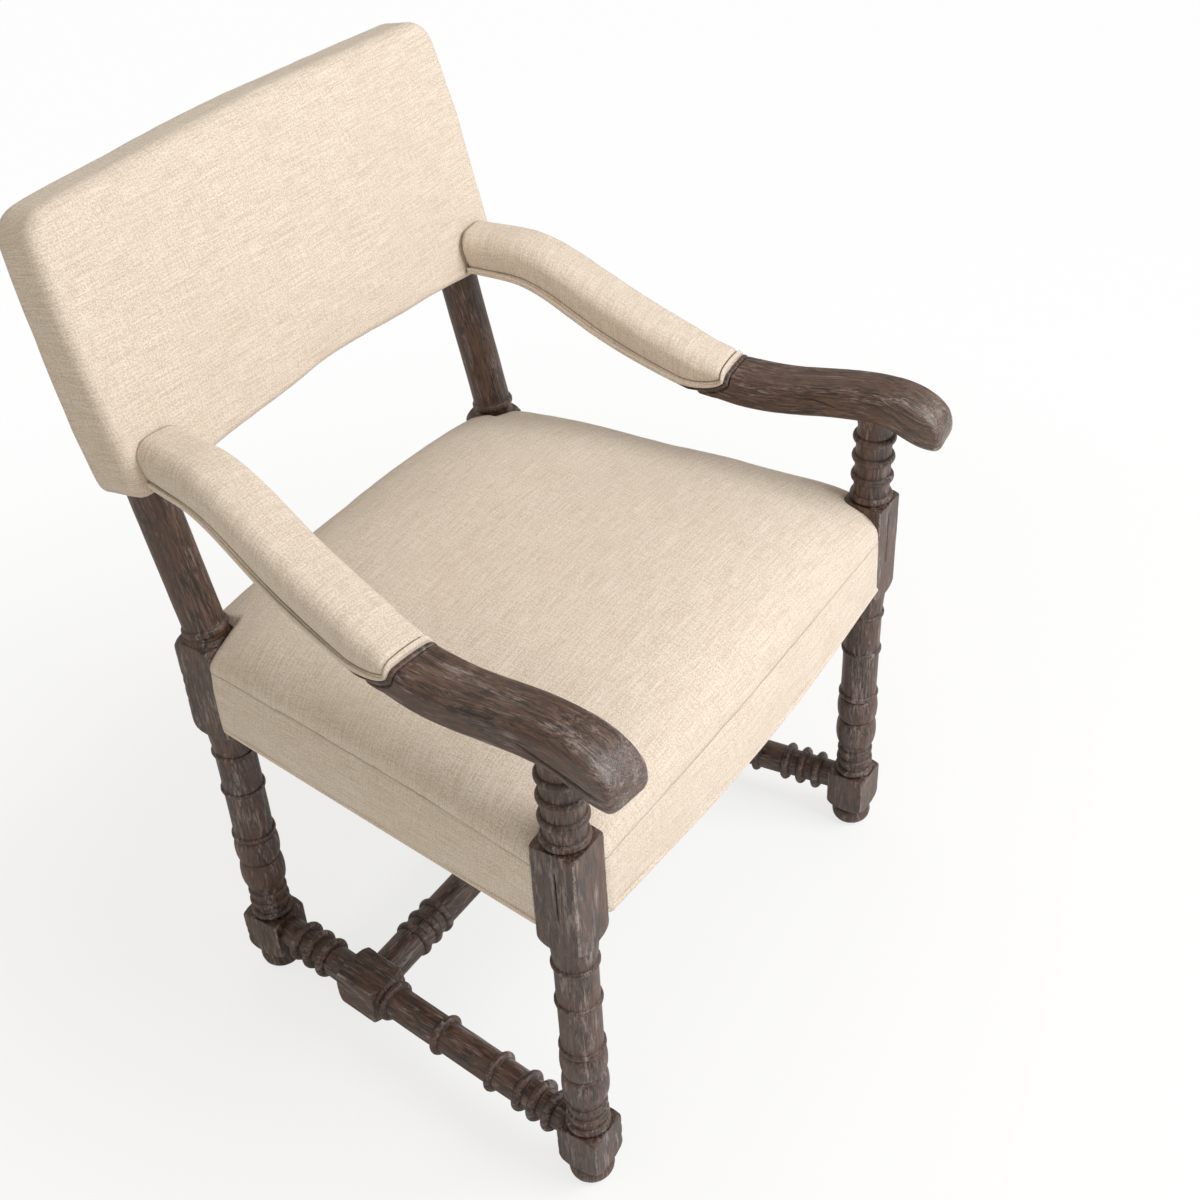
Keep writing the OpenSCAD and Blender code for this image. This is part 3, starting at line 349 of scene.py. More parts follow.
def brushed_oak():
    """Open-grained oak: dark brown stain, redder in patches, fine pores, smoky grey scuffs, painted shade
    in hollows and splits, a ragged pale line where sharp edges have rubbed, and a soft gloss where hands
    rest, with a pale tint there that is partly wear and partly a painted sheen."""
    material, tree = new_material("brushed_oak")
    grain = attribute(tree, "grain", "Vector")
    proud = attribute(tree, "proud")
    handled = attribute(tree, "handled")

    def figure(stretch, scale, detail, roughness=0.6, warp=0.0):
        """Noise drawn out along the grain."""
        place = put(tree, "ShaderNodeMapping", Vector=grain, Scale=(1, 1, stretch)).outputs[0]
        return clouds(tree, place, scale, detail, roughness, warp)

    def centred(value, gain):
        return maths(tree, "MULTIPLY", maths(tree, "SUBTRACT", value, 0.5), gain)

    patches = figure(0.4, 36, 3)
    scuffs = figure(0.2, 62, 7, 0.7, 0.9)
    streaks = figure(0.12, 330, 6, 0.72, 0.9)
    pores = figure(0.05, 900, 4, 0.72, 0.4)
    specks = figure(0.5, 560, 3, 0.7)
    colour = blend(tree, ramp(tree, streaks, 0.38, 0.62), srgb(STAIN_DARK), srgb(STAIN_LIGHT))
    colour = tint(tree, colour, STAIN_RED, patches, 0.45, 0.62, 0.4)
    smoke = maths(tree, "ADD", centred(scuffs, 3.0), centred(streaks, 2.6))
    colour = tint(tree, colour, SMOKY_SCUFF, smoke, 0.1, 0.7, 0.64)
    # Painted shade: darker in the hollows and the creases under the rings, where shade falls
    hollow_shade = maths(tree, "MULTIPLY", proud, -1)
    colour = tint(tree, colour, HOLLOW_SHADE, hollow_shade, 0.06, 0.36, 0.95)
    edge = maths(tree, "MULTIPLY", ramp(tree, proud, 0.24, 0.5), 0.6)
    ragged = maths(tree, "ADD", centred(specks, 1.2), centred(scuffs, 1.6))
    colour = tint(tree, colour, RUBBED_EDGE, maths(tree, "ADD", edge, ragged), 0.36, 0.9, 0.75)
    # Partly hand wear and partly a painted sheen: the nose is paled a little where hands rest
    faint_rub_and_sheen = maths(tree, "MULTIPLY_ADD", ramp(tree, scuffs, 0.35, 0.7), 0.2, 0.05)
    colour = blend(tree, maths(tree, "MULTIPLY", handled, faint_rub_and_sheen), colour, srgb(HAND_RUB_AND_SHEEN))
    colour = tint(tree, colour, PORE_DARK, pores, 0.53, 0.66, 0.8)
    # Painted shade: the splits are darkened towards black the deeper they are
    colour = blend(tree, attribute(tree, "split"), colour, srgb(SPLIT_SHADE))
    pits = maths(tree, "MULTIPLY", pores, 0.7)
    fine = maths(tree, "SUBTRACT", maths(tree, "MULTIPLY", specks, 0.3), pits)
    relief = maths(tree, "ADD", maths(tree, "MULTIPLY", streaks, 1.1), fine)
    dull = put(tree, "ShaderNodeMapRange", Value=streaks, From_Min=0.3, From_Max=0.7, To_Min=0.3,
               To_Max=0.5).outputs[0]
    dull = maths(tree, "SUBTRACT", dull, maths(tree, "MULTIPLY", handled, 0.14))
    finish(tree, colour, dull, relief, 0.6, 0.001, Specular_IOR_Level=0.7)
    return material


oak = brushed_oak()
# How far each kind of wear moves the surface, and its size across and along the grain
UNEVEN = (0.35, (26, 26, 70))
BRUSHED = (0.22, (1.7, 1.7, 24))
CHIPPED = (2.2, (5, 5, 9))
SPLIT_DEPTH = 3.2
SPLIT_FULL_SHADE = 1.2     # how deep a split is painted quite black, with the shade inside it
HANDLED_WEAR_AND_SHEEN = 0.08   # hands rub the stain, and a pale sheen is painted, as if the wood stood out by this much more


def carved(name, grid, along, seed, splits=None, nodes=(), handled=0.0):
    """Finish a closed grid of wood: worn edges, brushed grain, splits, and the marks that the stain, the
    wear, the painted shade and the painted sheen follow.
    Each point has its place in the grain, its split's depth, and how far hands have rubbed it, which also
    sets a painted pale sheen."""
    normals = grid_normals(grid)
    proud = standing_proud(grid, normals)
    uneven = field(along, UNEVEN[1], seed) * UNEVEN[0]
    brushed = field(along, BRUSHED[1], seed + 7) * BRUSHED[0]
    chips = np.clip(field(along, CHIPPED[1], seed + 13) - 0.12, 0, 1) * np.clip(proud, 0, 0.6) * CHIPPED[0]
    depth = np.zeros(grid.shape[:2]) if splits is None else splits
    shaped = grid + normals * (uneven + brushed - chips - depth)[..., None]
    marks = {"grain": along.reshape(-1, 3) / 1000 + seed * 0.37,
             "proud": (proud + HANDLED_WEAR_AND_SHEEN * handled).ravel(),
             "split": np.clip(depth / SPLIT_FULL_SHADE, 0, 1).ravel(),
             "handled": np.broadcast_to(handled, proud.shape).ravel()}
    piece = new_piece(name, shaped, tube_faces(*grid.shape[:2]), oak, marks)
    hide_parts(*nodes)
    return piece


def split_depths(line, angles, splits):
    """The depth at each point of a turned grid, for splits given as (angle, from height, to height)."""
    depth = np.zeros((len(line), len(angles)))
    for angle, z0, z1 in splits:
        near = angle_between(angles, angle)
        inside = np.clip((line[:, 1] - z0) / (z1 - z0), 0, 1)
        share = np.where(near < SPLIT_MIDDLE, 1, np.where(near < SPLIT_SIDE, 0.6, 0))
        depth += np.outer(np.sqrt(np.sin(math.pi * inside)), share)
    return depth * SPLIT_DEPTH


FRONT_SPLITS = {"right": [(math.radians(186.3), 413, 478)], "left": [(math.radians(262), 418, 486)]}
for side, name in SIDES:
    splits = FRONT_SPLITS[name]
    angles = around(splits)
    line = refine(front_turning())
    grid = turned_grid(line, LEG_HALF, angles)
    carved(f"front_leg_{name}_turned", grid + (side * FRONT_X, FRONT_Y, 0), grid, seed=3.1 + side,
           splits=split_depths(line, angles, splits), nodes=[f"front_leg_{name}"])


# The rear posts: the same turning to the seat, then a round post that leans back into the upholstery,
# and a flat stile inside it that carries the back's frame.
BACK_LOW = (ARM_Z + 80 - RAKE_Z) / math.cos(RAKE) - 4     # measured up the leaning post
BACK_H = 264.0
BACK_TOP = BACK_LOW + BACK_H
STILE = (24.5, 17.0)  # half its width and half its thickness
ENTRY_R = 18.0        # the post is rounded down where the cover closes over it
ENTRY_DROP = 14.0     # this far below the back


def raked(points):
    """From the leaning frame of the posts, w across the thickness and v up the post, to the chair's."""
    x, w, v = points[..., 0], points[..., 1], points[..., 2]
    y = w * math.cos(RAKE) + v * math.sin(RAKE)
    z = -w * math.sin(RAKE) + v * math.cos(RAKE)
    return np.stack([x, y + REAR_Y, z + RAKE_Z], axis=-1)


for side, name in SIDES:
    angles = around()
    lower = refine(lower_turning() + block(SEAT_BLOCK_LOW, REAR_BLOCK_TOP, 18, 16) + [(21, RAKE_Z - 6)])
    low_grid = turned_grid(lower, LEG_HALF, angles)
    entry = BACK_LOW - ENTRY_DROP
    upper = [(COLUMN_R, -6)] + bead(0, 9, RING_R, COLUMN_R) + [(COLUMN_R, entry), (ENTRY_R, entry + 3)]
    upper = refine(upper + [(ENTRY_R, BACK_LOW + 6)])
    up_grid = turned_grid(upper, LEG_HALF + 10, angles)
    rectangle = np.minimum(STILE[0] / np.maximum(np.abs(np.cos(angles)), 1e-6),
                           STILE[1] / np.maximum(np.abs(np.sin(angles)), 1e-6))
    stile = np.array([[(r * math.cos(a), r * math.sin(a), v) for r, a in zip(rectangle, angles)]
                      for v in np.linspace(BACK_LOW + 8, BACK_TOP - 14, 20)])
    up_grid = np.concatenate([up_grid, stile])
    turn = np.concatenate([low_grid + (0, REAR_Y, 0), raked(up_grid)])
    local = np.concatenate([low_grid, up_grid + (0, 0, RAKE_Z)])
    carved(f"rear_post_{name}_turned", turn + (side * REAR_X, 0, 0), local, seed=8.3 + side,
           nodes=[f"rear_post_{name}"])


# The H of stretchers near the floor: turned like the legs, each side one with a square block in it
# where the cross stretcher is tenoned.
STRETCHER_Z = 61.5
SIDE_ANGLE = math.atan((FRONT_X - REAR_X) / LEG_DEPTH)
SIDE_L = LEG_DEPTH / math.cos(SIDE_ANGLE)
CROSS_SETBACK = 318.0
BAR_R = 18.2
CROSS_BAR_R = 19.8
CROSS_RING_R = 23.5
END_RINGS = 3         # at each end of every stretcher
END_PITCH = 20.5
END_RING_H = 11
FRONT_RING = 21       # the first ring's middle, from the front leg's face
REAR_RING = 28        # the last one's, from the rear leg's face
CROSS_RING = 52       # the outermost one's, from the side stretcher's block
THIN_RING = (9, 23.6)     # thickness and radius of the rings along the side stretchers


def side_stretcher_turning():
    s0, s1, neck = LEG_HALF, SIDE_L - LEG_HALF, BAR_R - 1.5
    centre = CROSS_SETBACK / math.cos(SIDE_ANGLE)
    line = [(neck, s0 - 3)]
    for i in range(END_RINGS):
        line += bead(s0 + FRONT_RING + END_PITCH * i, END_RING_H, RING_R, neck)
    line += [(BAR_R, s0 + 68.5)]
    for s in (s0 + 102, s0 + 181, centre - 38):
        line += bead(s, *THIN_RING, BAR_R)
    line += block(centre - 29, centre + 29, 9, 9)
    line += [(BAR_R, centre + 30), (BAR_R, s1 - 75.5)]
    for i in reversed(range(END_RINGS)):
        line += bead(s1 - REAR_RING - END_PITCH * i, END_RING_H, RING_R, neck)
    return line + [(neck, s1 + 3)]


def on_side(points, side, z=0.0):
    """From the line beside the seat, x across, s back and z up, to the chair's frame."""
    x, s, h = points[..., 0], points[..., 1], points[..., 2]
    px = FRONT_X + x * math.cos(SIDE_ANGLE) - s * math.sin(SIDE_ANGLE)
    py = FRONT_Y + x * math.sin(SIDE_ANGLE) + s * math.cos(SIDE_ANGLE)
    return np.stack([side * px, py, h + z], axis=-1)


for side, name in SIDES:
    grid = turned_grid(refine(side_stretcher_turning()), LEG_HALF, around())
    laid = np.stack([grid[..., 0], grid[..., 2], -grid[..., 1]], axis=-1)
    placed = on_side(laid, side, STRETCHER_Z)
    if side < 0:
        placed, grid = placed[:, ::-1], grid[:, ::-1]
    carved(f"side_stretcher_{name}_turned", placed, grid, seed=12.7 + side,
           nodes=[f"side_stretcher_{name}"])

cross_x = FRONT_X - CROSS_SETBACK * math.tan(SIDE_ANGLE) - LEG_HALF / math.cos(SIDE_ANGLE)
places = [cross_x - CROSS_RING - END_PITCH * i for i in range(END_RINGS)]
line = [(CROSS_BAR_R, -cross_x - 1)]
for z in [-p for p in places] + places[::-1]:
    line += bead(z, 10, CROSS_RING_R, CROSS_BAR_R)
grid = turned_grid(refine(line + [(CROSS_BAR_R, cross_x + 1)]), LEG_HALF, around())
laid = np.stack([grid[..., 2], grid[..., 0], grid[..., 1]], axis=-1)
laid = laid + (0, FRONT_Y + CROSS_SETBACK, STRETCHER_Z)
carved("cross_stretcher_turned", laid, grid, seed=17.9, nodes=["cross_stretcher"])


# The frame inside the seat and the back: plain sawn hardwood rails, tenoned into the posts, and corner
# blocks glued and screwed across the corners. The CAD solids have their shape, and only get a finish here.


def finish_nodes(material, *names):
    for name in names:
        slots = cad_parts[name].data.materials
        slots.clear()
        slots.append(material)


def mottled(name, light, dark, stretch, scale, roughness, depth, metallic=0.0):
    """Plain material in two tones, with a bump from the same grain."""
    material, tree = new_material(name)

    def grain(scale, detail):
        place = put(tree, "ShaderNodeTexCoord").outputs["Object"]
        place = put(tree, "ShaderNodeMapping", Vector=place, Scale=stretch).outputs[0]
        return clouds(tree, place, scale, detail, 0.6)

    broad, fine = grain(scale, 3.0), grain(scale * 5, 2.0)
    colour = blend(tree, ramp(tree, broad, 0.35, 0.65), srgb(dark), srgb(light))
    finish(tree, colour, roughness, maths(tree, "ADD", broad, fine), 0.5, depth, Metallic=metallic)
    return material


SAWN = ("C4A06B", "A9824F")
hardwood = mottled("sawn_hardwood", *SAWN, (0.06, 1, 1), 160, 0.75, 0.0005)
hardwood_deep = mottled("sawn_hardwood_side", *SAWN, (1, 0.06, 1), 160, 0.75, 0.0005)
screw_steel = mottled("screw_steel", "A3A3A6", "7C7C80", (1, 1, 6), 900, 0.38, 0.00006, 1.0)
nylon = mottled("glide_nylon", "363636", "2A2A2A", (1, 1, 1), 700, 0.5, 0.00008)
finish_nodes(hardwood, "front_seat_rail", "rear_seat_rail", "back_top_rail", "back_bottom_rail")
finish_nodes(hardwood_deep, "side_seat_rail_right", "side_seat_rail_left")
for end in ("front", "rear"):
    finish_nodes(hardwood, f"corner_block_{end}_right", f"corner_block_{end}_left")
finish_nodes(screw_steel, "corner_block_screws", "arm_screws")
finish_nodes(nylon, "floor_glides")


# The two arms: each sawn from one board to a sweeping line, rounded over at the nose, tenoned on the
# front post and screwed to the rear one. A bead is cut round the place of the pad, and runs back under
# it as the arm's thin lower edge.
ARM_W = 51.0
ARM_BOW = 8.0         # how far the outer side bows out
ARM_T = 36.0
NOSE = 80.0           # how far the arm runs past the front post's axis
NOSE_EDGE = 8.0       # rounding of the nose's end
NOSE_ROUND = 62.0     # length of its rounded top
BARE_LEVEL = ARM_Z + ARM_T + 1
PAD_START = 168.0     # the pad's front, from the front post's axis
DIP = 16.0            # how far the underside dips below the front post's top, and where
DIP_S = PAD_START - 26
CLIMB = 96.0          # how far it rises from there to the back
CLIMB_END = SIDE_L - 43
CLIMB_LAG = 0.095
PADDED_T = 42.0       # thickness of arm and pad together
PAD_SWELL = 8.0
PAD_STEP = 6.5
STEP_SHARE = 0.15     # how much of the step is upright
PAD_RISE = 10.0
PAD_FULL = 55.0       # how far back the pad has its full height
LIP = 0.5             # the pad's lower edge, above the arm's underside
PAD_CORNER = (58.0, 26.4)     # length and height of the pad's front corner
CORNER_POWER = 1.4    # between a straight line, 1, and a quarter ellipse, 2
FRONT_SQUEEZE = 0.55  # the band lies steeper over the pad's front, so it takes less length there
BAND_W = 6.4
BARE_R = 9.0          # rounding of the bare wood's long edges
PAD_R = 14.0          # and of the pad's, from this far back
PAD_ROUNDED = 30.0
UNDERSIDE = [(14 - NOSE, ARM_Z - 17), (-5, ARM_Z), (DIP_S, ARM_Z - DIP)]
BARE_TOP = [(-10, BARE_LEVEL), (PAD_START - 33, BARE_LEVEL - 18)]
BARE_CROWN = 1.5
CROWN_DEPTH = 30.0    # how far below the top the crown dies out
ABOVE_ARMS = 700.0
BEAD_R = 3.1
BEAD_LINE = -3.4      # the bead's middle, beyond the pad's edge
BEAD_PROUD = 1.1
BEAD_FLOOR = 2.2      # depth of the groove it lies in
BEAD_TAPER = (18.0, 40.0)     # it runs out between these distances behind the pad's front


def part_way(s, start, run):
    """How much of a run lies before each place, from nought to one."""
    return np.clip((np.asarray(s, dtype=float) - start) / run, 0, 1)


def eased(s, knots):
    """Smooth curve through turning points."""
    places, heights = map(np.array, zip(*knots))
    i = np.clip(np.searchsorted(places, s, side="right") - 1, 0, len(knots) - 2)
    f = part_way(s, places[i], places[i + 1] - places[i])
    return heights[i] + (heights[i + 1] - heights[i]) * (1 - np.cos(np.pi * f)) / 2


def nose_rounding(s):
    f = np.clip((NOSE_EDGE - NOSE - s) / NOSE_EDGE, 0, 1)
    return NOSE_EDGE * (1 - np.sqrt(1 - f * f))


def underside(s):
    s = np.asarray(s, dtype=float)
    t = part_way(s, DIP_S, CLIMB_END - DIP_S)
    lag = CLIMB_LAG * np.abs(np.sin(np.pi * t ** 1.5)) ** 1.5
    climb = np.sin(np.pi / 2 * (t - lag)) ** 2
    return np.where(s < DIP_S, eased(s, UNDERSIDE) + nose_rounding(s), ARM_Z - DIP + CLIMB * climb)


def bare_top(s):
    s = np.asarray(s, dtype=float)
    nose_s, nose_low = NOSE_ROUND - NOSE, ARM_Z - 3
    drop = np.sqrt(np.clip(1 - ((nose_s - s) / NOSE_ROUND) ** 2, 0, 1))
    return np.where(s < nose_s, nose_low + (BARE_LEVEL - nose_low) * drop, eased(s, BARE_TOP))


def bow(s):
    f = (np.asarray(s, dtype=float) + NOSE) / (SIDE_L + NOSE)
    return ARM_BOW * (1 - np.minimum(1, np.abs(2 * f - 1)) ** 2.5)


def half_width(s):
    return (ARM_W + bow(s)) / 2


def padded_top(s):
    step = STEP_SHARE + (1 - STEP_SHARE) * np.sin(np.pi / 2 * part_way(s, PAD_START, PAD_RISE))
    low = bare_top(PAD_START) + PAD_STEP * step
    along = part_way(s, PAD_START, SIDE_L - PAD_START)
    full = underside(s) + PADDED_T + PAD_SWELL * np.sin(np.pi * along) ** 2
    return low + (full - low) * (1 - (1 - part_way(s, PAD_START, PAD_FULL)) ** 1.6)


def pad_low(s):
    ahead = 1 - part_way(s, PAD_START, PAD_CORNER[0])
    corner = 1 - (1 - ahead ** CORNER_POWER) ** (1 / CORNER_POWER)
    return underside(s) + LIP + PAD_CORNER[1] * corner


def pad_rounding(s):
    return BARE_R + (PAD_R - BARE_R) * part_way(s, PAD_START, PAD_ROUNDED)


def crowned(line, high, half, crown):
    rise = np.clip(1 - (high - line[:, 1]) / CROWN_DEPTH, 0, 1) ** 3
    line[:, 1] += crown * rise * (1 - np.minimum(1, np.abs(line[:, 0] / half)) ** 2)
    return line


def rounded_section(half, low, high, r_low, r_high, crown, flank, steps=10):
    """Half outline of an arm or its pad, from the bottom middle up one side to the top middle."""
    turn = np.linspace(0, math.pi / 2, steps)
    bottom = [(x, low) for x in np.linspace(0, half - r_low, 6)[:-1]]
    corner = [(half - r_low + r_low * math.sin(a), low + r_low - r_low * math.cos(a)) for a in turn]
    side_z = low + r_low + (high - r_high - low - r_low) * flank
    shoulder = [(half - r_high + r_high * math.cos(a), high - r_high + r_high * math.sin(a)) for a in turn]
    top = [(x, high) for x in np.linspace(half - r_high, 0, 9)[1:]]
    line = np.array(bottom + corner + [(half, z) for z in side_z] + shoulder + top)
    return crowned(line, high, half, crown)


def whole_ring(line, s):
    """The half outline and its mirror, at one place along the arm."""
    ring = np.concatenate([line, line[-2:0:-1] * (-1, 1)])
    return np.stack([ring[:, 0] + bow(s) / 2, np.full(len(ring), s), ring[:, 1]], axis=1)


def pad_edge():
    """The pad's edge in the side view, as points (distance back, height)."""
    run = np.arange(PAD_START + PAD_CORNER[0], SIDE_L + 40, 0.5)
    turn = np.linspace(0, math.pi / 2, 80)
    corner_s = PAD_START + PAD_CORNER[0] * (1 - np.cos(turn))
    upright = np.arange(underside(PAD_START) + LIP + PAD_CORNER[1], ABOVE_ARMS, 0.5)
    return np.concatenate([np.stack([np.full(len(upright), PAD_START), upright], axis=1),
                           np.stack([corner_s, pad_low(corner_s)], axis=1),
                           np.stack([run, pad_low(run)], axis=1)])


EDGE_POINTS = pad_edge()
edge_tree = kdtree.KDTree(len(EDGE_POINTS))
for i, (s, z) in enumerate(EDGE_POINTS):
    edge_tree.insert((s, z, 0), i)
edge_tree.balance()


def inside_edge(grid):
    """How far each point of a grid lies inside the pad's edge, in the side view; below nought outside."""
    s, z = grid[..., 1], grid[..., 2]
    spots = zip(s.ravel().tolist(), z.ravel().tolist())
    gap = np.array([edge_tree.find((a, b, 0))[2] for a, b in spots])
    inside = (s > PAD_START) & (z > pad_low(s))
    return np.where(inside, 1, -1) * gap.reshape(s.shape)


def smooth_step(x):
    x = np.clip(x, 0, 1)
    return x * x * (3 - 2 * x)


def edge_line(d, out, top, rounding, crown, end):
    """Points along the pad's border, d inside its edge and out above the surface: from the rear end of the
    outer side, round the front corner, over the top and back along the inner side."""
    run = np.linspace(end, PAD_START + PAD_CORNER[0], 72)
    turn = np.linspace(math.pi / 2, 0, 34)[1:]
    front = PAD_START + (d * FRONT_SQUEEZE if d > 0 else d)
    past = 1 - np.cos(turn) ** (2 / CORNER_POWER)
    s = np.concatenate([run, front + (PAD_START + PAD_CORNER[0] - front) * past])
    corner = (PAD_CORNER[1] - d) * (1 - np.sin(turn) ** (2 / CORNER_POWER))
    lift = np.concatenate([np.zeros(len(run)), corner])
    side_line = np.stack([half_width(s) + out, s, underside(s) + LIP + d + lift], axis=1)
    low, high = side_line[-1, 2], float(top(front))
    half, r = float(half_width(front)), float(rounding(front))
    flank = [(half + out, z) for z in np.linspace(low, high - r, 4)[1:-1]]
    shoulder = [(half - r + (r + out) * math.cos(a), high - r + (r + out) * math.sin(a))
                for a in np.linspace(0, math.pi / 2, 12)]
    level = [(x, high + out) for x in np.linspace(half - r, 0, 9)[1:]]
    over = crowned(np.array(flank + shoulder + level), high, half, crown)
    over = np.stack([over[:, 0], np.full(len(over), front), over[:, 1]], axis=1)
    line = np.concatenate([side_line, over])
    line = np.concatenate([line, line[-2::-1] * (-1, 1, 1)])
    line[:, 0] += bow(line[:, 1]) / 2
    return line


def border_tube(section, top, rounding, crown, end):
    """Grid of a strip that follows the pad's border: a row for each place along it, and a column for each
    point of its section."""
    return np.stack([edge_line(d, out, top, rounding, crown, end) for d, out in section], axis=1)


def bare_stations():
    nose = NOSE_ROUND * (1 - np.cos(np.linspace(0.02, math.pi / 2, 22))) - NOSE
    plain = np.arange(nose[-1] + 2.5, PAD_START - 12, 2.5)
    return np.concatenate([nose, plain, np.arange(PAD_START - 11, PAD_START, 0.7)])


ARM_FLANK = np.linspace(0, 1, 24)[1:-1]
LOW_COLUMNS = 15      # points of a ring from the middle of its bottom to its flank
HIGH_COLUMNS = 18     # and from its flank to the middle of its top
THIN_LIP = 2.5        # wood left showing under the pad
HANDLED_TO = -5.0     # hands rub and polish the nose, and a pale sheen is painted there, up to here, and fully so this much further out
HANDLED_OVER = 55.0
ARM_SPLITS = {"right": (False, (-66, 604), (18, 625), 3.0), "left": (True, (36, 619), (86, 627), 1.6)}


def arm_grid():
    rings = []
    for s in bare_stations():
        half, low, high = float(half_width(s) - nose_rounding(s)), float(underside(s)), float(bare_top(s))
        r = max(0.2, min(BARE_R, (high - low) / 2 - 0.2))
        crown = min(BARE_CROWN, (high - low) / 9)
        rings.append(whole_ring(rounded_section(half, low, high, r, r, crown, ARM_FLANK), s))
    corner = np.arange(PAD_START, PAD_START + 50, 1.2)
    for s in np.concatenate([corner, np.arange(PAD_START + 51, SIDE_L + 30, 4)]):
        half, low = float(half_width(s)), float(underside(s))
        high = max(float(pad_low(s)) - 1, low + THIN_LIP)
        r = min(BARE_R, (high - low) / 2)
        rings.append(whole_ring(rounded_section(half, low, high, r, 0.4, 0, ARM_FLANK), s))
    return np.array(rings)


def arm_split(grid, inner, start, end, deepest):
    """Depths of a drying split in one side of an arm, from one place to another, each given as how far back
    and how high it is."""
    depth = np.zeros(grid.shape[:2])
    middle = grid.shape[1] // 2
    columns = np.arange(LOW_COLUMNS, middle - HIGH_COLUMNS)
    if inner:
        columns = np.arange(middle + HIGH_COLUMNS + 1, grid.shape[1] - LOW_COLUMNS)
    for row, s in enumerate(grid[:, 0, 1]):
        along = (s - start[0]) / (end[0] - start[0])
        if 0 < along < 1:
            z = start[1] + (end[1] - start[1]) * along
            column = columns[np.argmin(np.abs(grid[row, columns, 2] - z))]
            deep = deepest * math.sqrt(math.sin(math.pi * along))
            depth[row, column - 1:column + 2] = (deep * 0.5, deep, deep * 0.5)
    return depth


def along_arm(grid):
    """The place of each point in the grain, which follows the arm's underside."""
    return np.stack([grid[..., 0], grid[..., 2] - underside(grid[..., 1]), grid[..., 1]], axis=-1)


def cut_to_lean(grid, w):
    """Stop a grid along the arm at a plane parallel to the leaning posts, w behind their axes."""
    limit = LEG_DEPTH + (grid[..., 2] - RAKE_Z) * math.tan(RAKE) + w / math.cos(RAKE)
    grid[..., 1] = np.minimum(grid[..., 1], limit / math.cos(SIDE_ANGLE))
    return grid


def sided(grid, along, side):
    """Place a grid on one side of the chair, and turn it so that its faces still point outwards."""
    placed = on_side(grid, side)
    return (placed[:, ::-1], along[:, ::-1]) if side > 0 else (placed, along)


bead_section = [(BEAD_LINE + BEAD_R * math.cos(a), BEAD_R * (math.sin(a) - 1) + BEAD_PROUD)
                for a in np.linspace(0, 2 * math.pi, 17)[:-1]]
for side, name in SIDES:
    grid = arm_grid()
    splits = arm_split(grid, *ARM_SPLITS[name])
    # The floor of the bead's groove, and of the pad's seat behind it
    floor_depth = BEAD_FLOOR * smooth_step((inside_edge(grid) + 2 * BEAD_R + 1.6) / 1.2)
    grid = cut_to_lean(grid + grid_normals(grid) * floor_depth[..., None], -STILE[1])
    placed, marks = sided(grid, along_arm(grid), side)
    splits = splits[:, ::-1] if side > 0 else splits
    handled = smooth_step((HANDLED_TO - marks[..., 2]) / HANDLED_OVER)
    carved(f"arm_{name}_sawn", placed, marks, seed=21.3 + side, splits=splits, nodes=[f"arm_{name}"],
           handled=handled)
    grid = border_tube(bead_section, bare_top, lambda s: BARE_R, BARE_CROWN, PAD_START + BEAD_TAPER[1])
    # The bead runs out where the pad's edge meets the arm's lower edge
    middle = grid.mean(axis=1, keepdims=True)
    taper_from, taper_to = BEAD_TAPER
    fading = smooth_step((middle[..., 1:2] - PAD_START - taper_from) / (taper_to - taper_from))
    grid = middle + (grid - middle) * (1 - 0.95 * fading)
    grid[..., 2] = np.maximum(grid[..., 2], underside(grid[..., 1]) + 0.5)
    placed, marks = sided(grid, along_arm(grid), side)
    carved(f"arm_{name}_bead", placed, marks, seed=25.1 + side)


# The seat's upholstery: jute webbing tacked over the rails, a crowned foam block, and a linen cover with a
# flat boxing, a plain sewn seam round its top panel, and a hem turned under the rails and stapled.
SEAT_LOW = 391.0
SEAM_Z = 471.0
SEAM_DROP = 9.0       # how far the seam drops at the front edge, and at the rear one
REAR_DROP = 4.0
SEAM_PINCH = 1.2      # how far the boxing starts below the seam
HEM_R = 4.0
HEM_T = 0.9           # the hem's place between the seam, 0, and where the swelling ends, 1
SEAT_CROWN = 69.0
COVER_INSET = 6.5     # how far the rails stand back from the cover
FRONT_SWELL = (3.5, 14.0)     # how far the cover stands out at the seam and at the lower edge
SIDE_SWELL = (-4.0, 0.0)
BOXING_SWELL = 4.0    # and how much more between them
SEAT_CELLS = 112
PUCKER = 1.2          # how unevenly the sewing has drawn up the cloth at the seam, and how far from it
PUCKER_REACH = 9
THREAD = 0.00125      # the linen's thread pitch, in metres
SLUBS = (0.024, 0.045)    # how long the slubs are along the warp and the weft
LINEN_LIGHT = "EFE3D6"
LINEN_DARK = "CAB9A5"
LINEN_CLOUD = "D7C7B4"
LINEN_FLECK = "A69682"
LINEN_GAP_SHADE = "978772"
LINEN_SEAM_SHADE = "4E4232"


